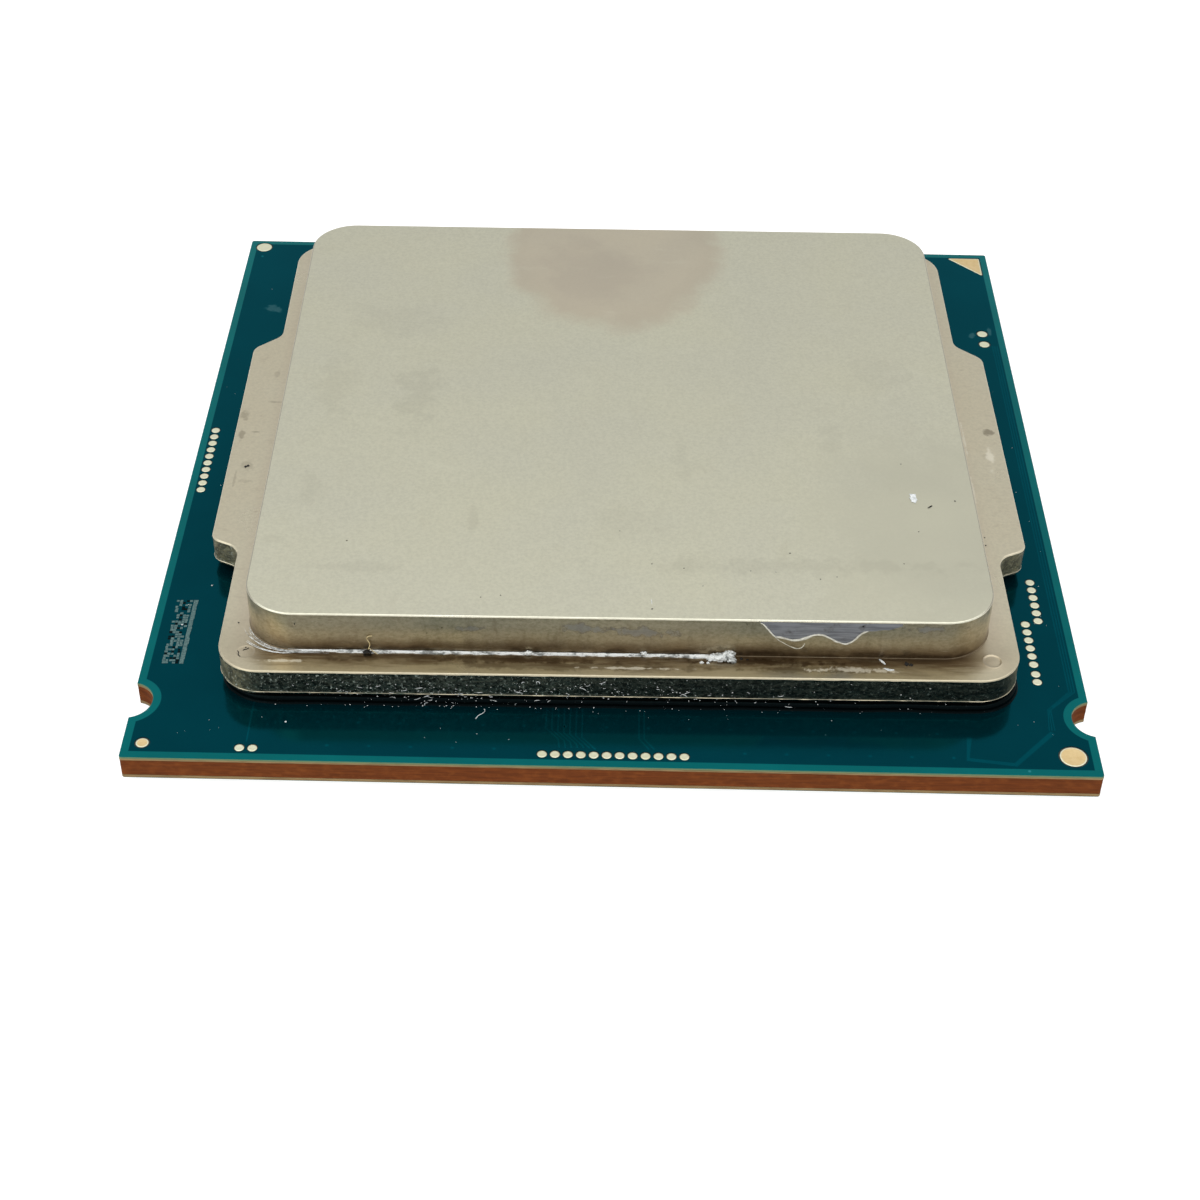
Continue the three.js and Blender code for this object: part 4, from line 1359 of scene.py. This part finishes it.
# Strands on the flange: points, height over it, radius, flatness and finish
FLANGE_STRANDS = (
    (((-14.5, -14.37), (-14.56, -14.46), (-14.66, -14.47), (-14.72, -14.54)), 0.004, 0.025, 0.4, DARK),
    (((-14.93, -14.54), (-14.86, -14.66), (-14.88, -14.78), (-14.76, -14.92)), 0.004, 0.025, 0.4, DARK),
    (((10.16, -14.55), (10.26, -14.66), (10.38, -14.85)), 0.02, 0.05, 0.5, WHITE),
    (((10.3, -15.05), (10.5, -15.16), (10.7, -15.14)), 0.005, 0.06, 0.2, WHITE),
)
# Hairs in front of the plateau's wall: radius and points, each with X, distance out from the wall and Z
WALL_HAIRS = (
    (0.02, ((-9.8, 0.15, 3.4), (-9.7, 0.1, 3.65), (-9.86, 0.08, 3.86),
            (-9.8, 0.06, 4.0), (-9.62, 0.06, 4.02))),
    (0.016, ((-9.78, 0.16, 3.5), (-9.6, 0.22, 3.36), (-9.42, 0.26, 3.24))),
)


def grit():
    """Dark and white grit, scratches, flakes and dry hairs on the heat spreader."""
    shape = Shape()
    draw = random.Random(21)
    for x, y, size in PLATEAU_GRIT:
        crumb(shape, x, y, LID_TOP, size, draw, tall=0.4)
    for x, y, size in FLANGE_GRIT:
        crumb(shape, x, y, FLANGE_TOP, size, draw, tall=0.5)
    for x, z, size in WALL_GRIT:
        crumb(shape, x, PLATEAU_FRONT - 0.03, z - 0.02, size, draw)
    for reach, size in ((0.0, 0.17), (0.12, 0.14), (-0.1, 0.12)):  # a dark clump by the wall's foot
        crumb(shape, -9.86 + reach, PLATEAU_FRONT - 0.14, FLANGE_TOP + 0.04, size, draw)
    for y, size in ((-6.5, 0.2), (-6.68, 0.18), (-6.82, 0.14)):  # a white flake on the plateau
        crumb(shape, 12.0 - y * 0.02, y, LID_TOP, size, draw, finish=WHITE, tall=0.3)
    near = LID_TOP + 0.01
    fibre(shape, [(12.66, -7.28, near), (12.76, -7.2, near + 0.01), (12.86, -7.12, near)], 0.05)
    fibre(shape, [(1.2, -13.3, near), (1.22, -13.45, near), (1.23, -13.6, LID_TOP)], 0.025, finish=WHITE)
    for points, rise, radius, flat, finish in FLANGE_STRANDS:
        fibre(shape, smoothed(at_height(points, FLANGE_TOP + rise), rounds=1), radius, flat, finish)
    for radius, points in WALL_HAIRS:
        fibre(shape, smoothed(off_front(points), rounds=3), radius, finish=DRY)
    shape.build("grit_on_lid", [GRIT, DUST, HAIR], LID_PLACE, sharp=80)


# ---------------------------------------------------------------- inner parts, which keep their CAD shape

INNER = {
    "silicon_die": SILICON,
    "solder_bumps": SOLDER,
    "thermal_solder": SOLDER,
    "underfill": EPOXY,
    "upper_copper_plane": COPPER,
    "lower_copper_plane": COPPER,
}


def dress_inner_parts():
    """Gives each inner node its material."""
    for node, finish in INNER.items():
        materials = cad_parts[node].data.materials
        materials.clear()
        materials.append(finish)


# ---------------------------------------------------------------- stage, in metres


def area_light(name, place, size, power, tint=(1.0, 1.0, 1.0)):
    """A rectangular light that faces the object."""
    light = bpy.data.lights.new(name, "AREA")
    light.shape = "RECTANGLE"
    light.size, light.size_y = size
    light.energy = power
    light.color = tint
    holder = in_scene(name, light)
    holder.location = place
    holder.rotation_mode = "QUATERNION"
    holder.rotation_quaternion = (-Vector(place)).to_track_quat("-Z", "Y")


def studio_world():
    """Even light that brightens towards the horizon, where it meets the floor."""
    world = bpy.data.worlds.new("studio")
    world.use_nodes = True
    nodes, links = world.node_tree.nodes, world.node_tree.links
    light = nodes["Background"]
    light.inputs["Color"].default_value = (0.95, 0.97, 1.0, 1)
    place, axes = nodes.new("ShaderNodeTexCoord"), nodes.new("ShaderNodeSeparateXYZ")
    fade = nodes.new("ShaderNodeMapRange")
    fade.interpolation_type = "SMOOTHSTEP"
    for socket, value in {"From Min": 0.0, "From Max": 0.25, "To Min": 1.07, "To Max": 0.665}.items():
        fade.inputs[socket].default_value = value
    links.new(place.outputs["Generated"], axes.inputs[0])
    links.new(axes.outputs["Z"], fade.inputs["Value"])
    links.new(fade.outputs[0], light.inputs["Strength"])
    bpy.context.scene.world = world


def pale_floor():
    """A wide sheet of pale paper that glows: painted light that fills in the shadow round the board and keeps
    the floor white out to its edges.
    """
    half = 3.0
    mesh = bpy.data.meshes.new("floor")
    corners = [(-half, -half, 0), (half, -half, 0), (half, half, 0), (-half, half, 0)]
    mesh.from_pydata(corners, [], [(0, 1, 2, 3)])
    paper = Finish("floor_paper", Base_Color=(0.35, 0.35, 0.35, 1), Roughness=0.9, Specular_IOR_Level=0.1)
    # Painted light: the glow fills in the shadow round the board, and also lights the object a little from
    # below.
    paper.paint(Emission_Color=(1, 1, 1, 1), Emission_Strength=0.9)
    mesh.materials.append(paper.material)
    in_scene("floor", mesh)


def stage():
    """The floor and the soft light of a studio."""
    pale_floor()
    studio_world()
    area_light("overhead", (0.0, 0.0, 0.6), size=(1.0, 0.9), power=2.69)
    area_light("front_left", (-0.35, -0.35, 0.3), size=(0.4, 0.3), power=0.5, tint=(1.0, 0.98, 0.95))
    bpy.context.scene.view_settings.view_transform = "Standard"


def camera():
    """Seen from the front, about 40 degrees down, and turned a degree about its own axis."""
    azimuth, elevation, roll = math.radians(0.085), math.radians(40.518), math.radians(1.099)
    target = Vector((-0.568, -9.01, BOARD_TOP)) * MM
    distance = 89.486 * MM
    sideways, level = math.sin(azimuth), math.cos(azimuth)
    back = Vector((sideways * math.cos(elevation), -level * math.cos(elevation), math.sin(elevation)))
    right = (-back).cross(UP).normalized()
    up = right.cross(-back)
    x_axis = right * math.cos(roll) + up * math.sin(roll)
    y_axis = up * math.cos(roll) - right * math.sin(roll)
    data = bpy.data.cameras.new("camera")
    data.sensor_width = 36
    data.lens = 64.84
    data.clip_start = 0.005
    data.clip_end = 10
    holder = in_scene("camera", data)
    turned = Matrix((x_axis, y_axis, back)).transposed().to_4x4()
    holder.matrix_world = Matrix.Translation(target + back * distance) @ turned
    bpy.context.scene.camera = holder


camera()
stage()
board_core()
board_buildups()
top_mask()
bottom_mask()
top_pads()
traces()
code_block()
lands()
capacitors()
heat_spreader()
sealant()
paste_bead()
frayed_paste()
wall_film()
dust()
grit()
dress_inner_parts()
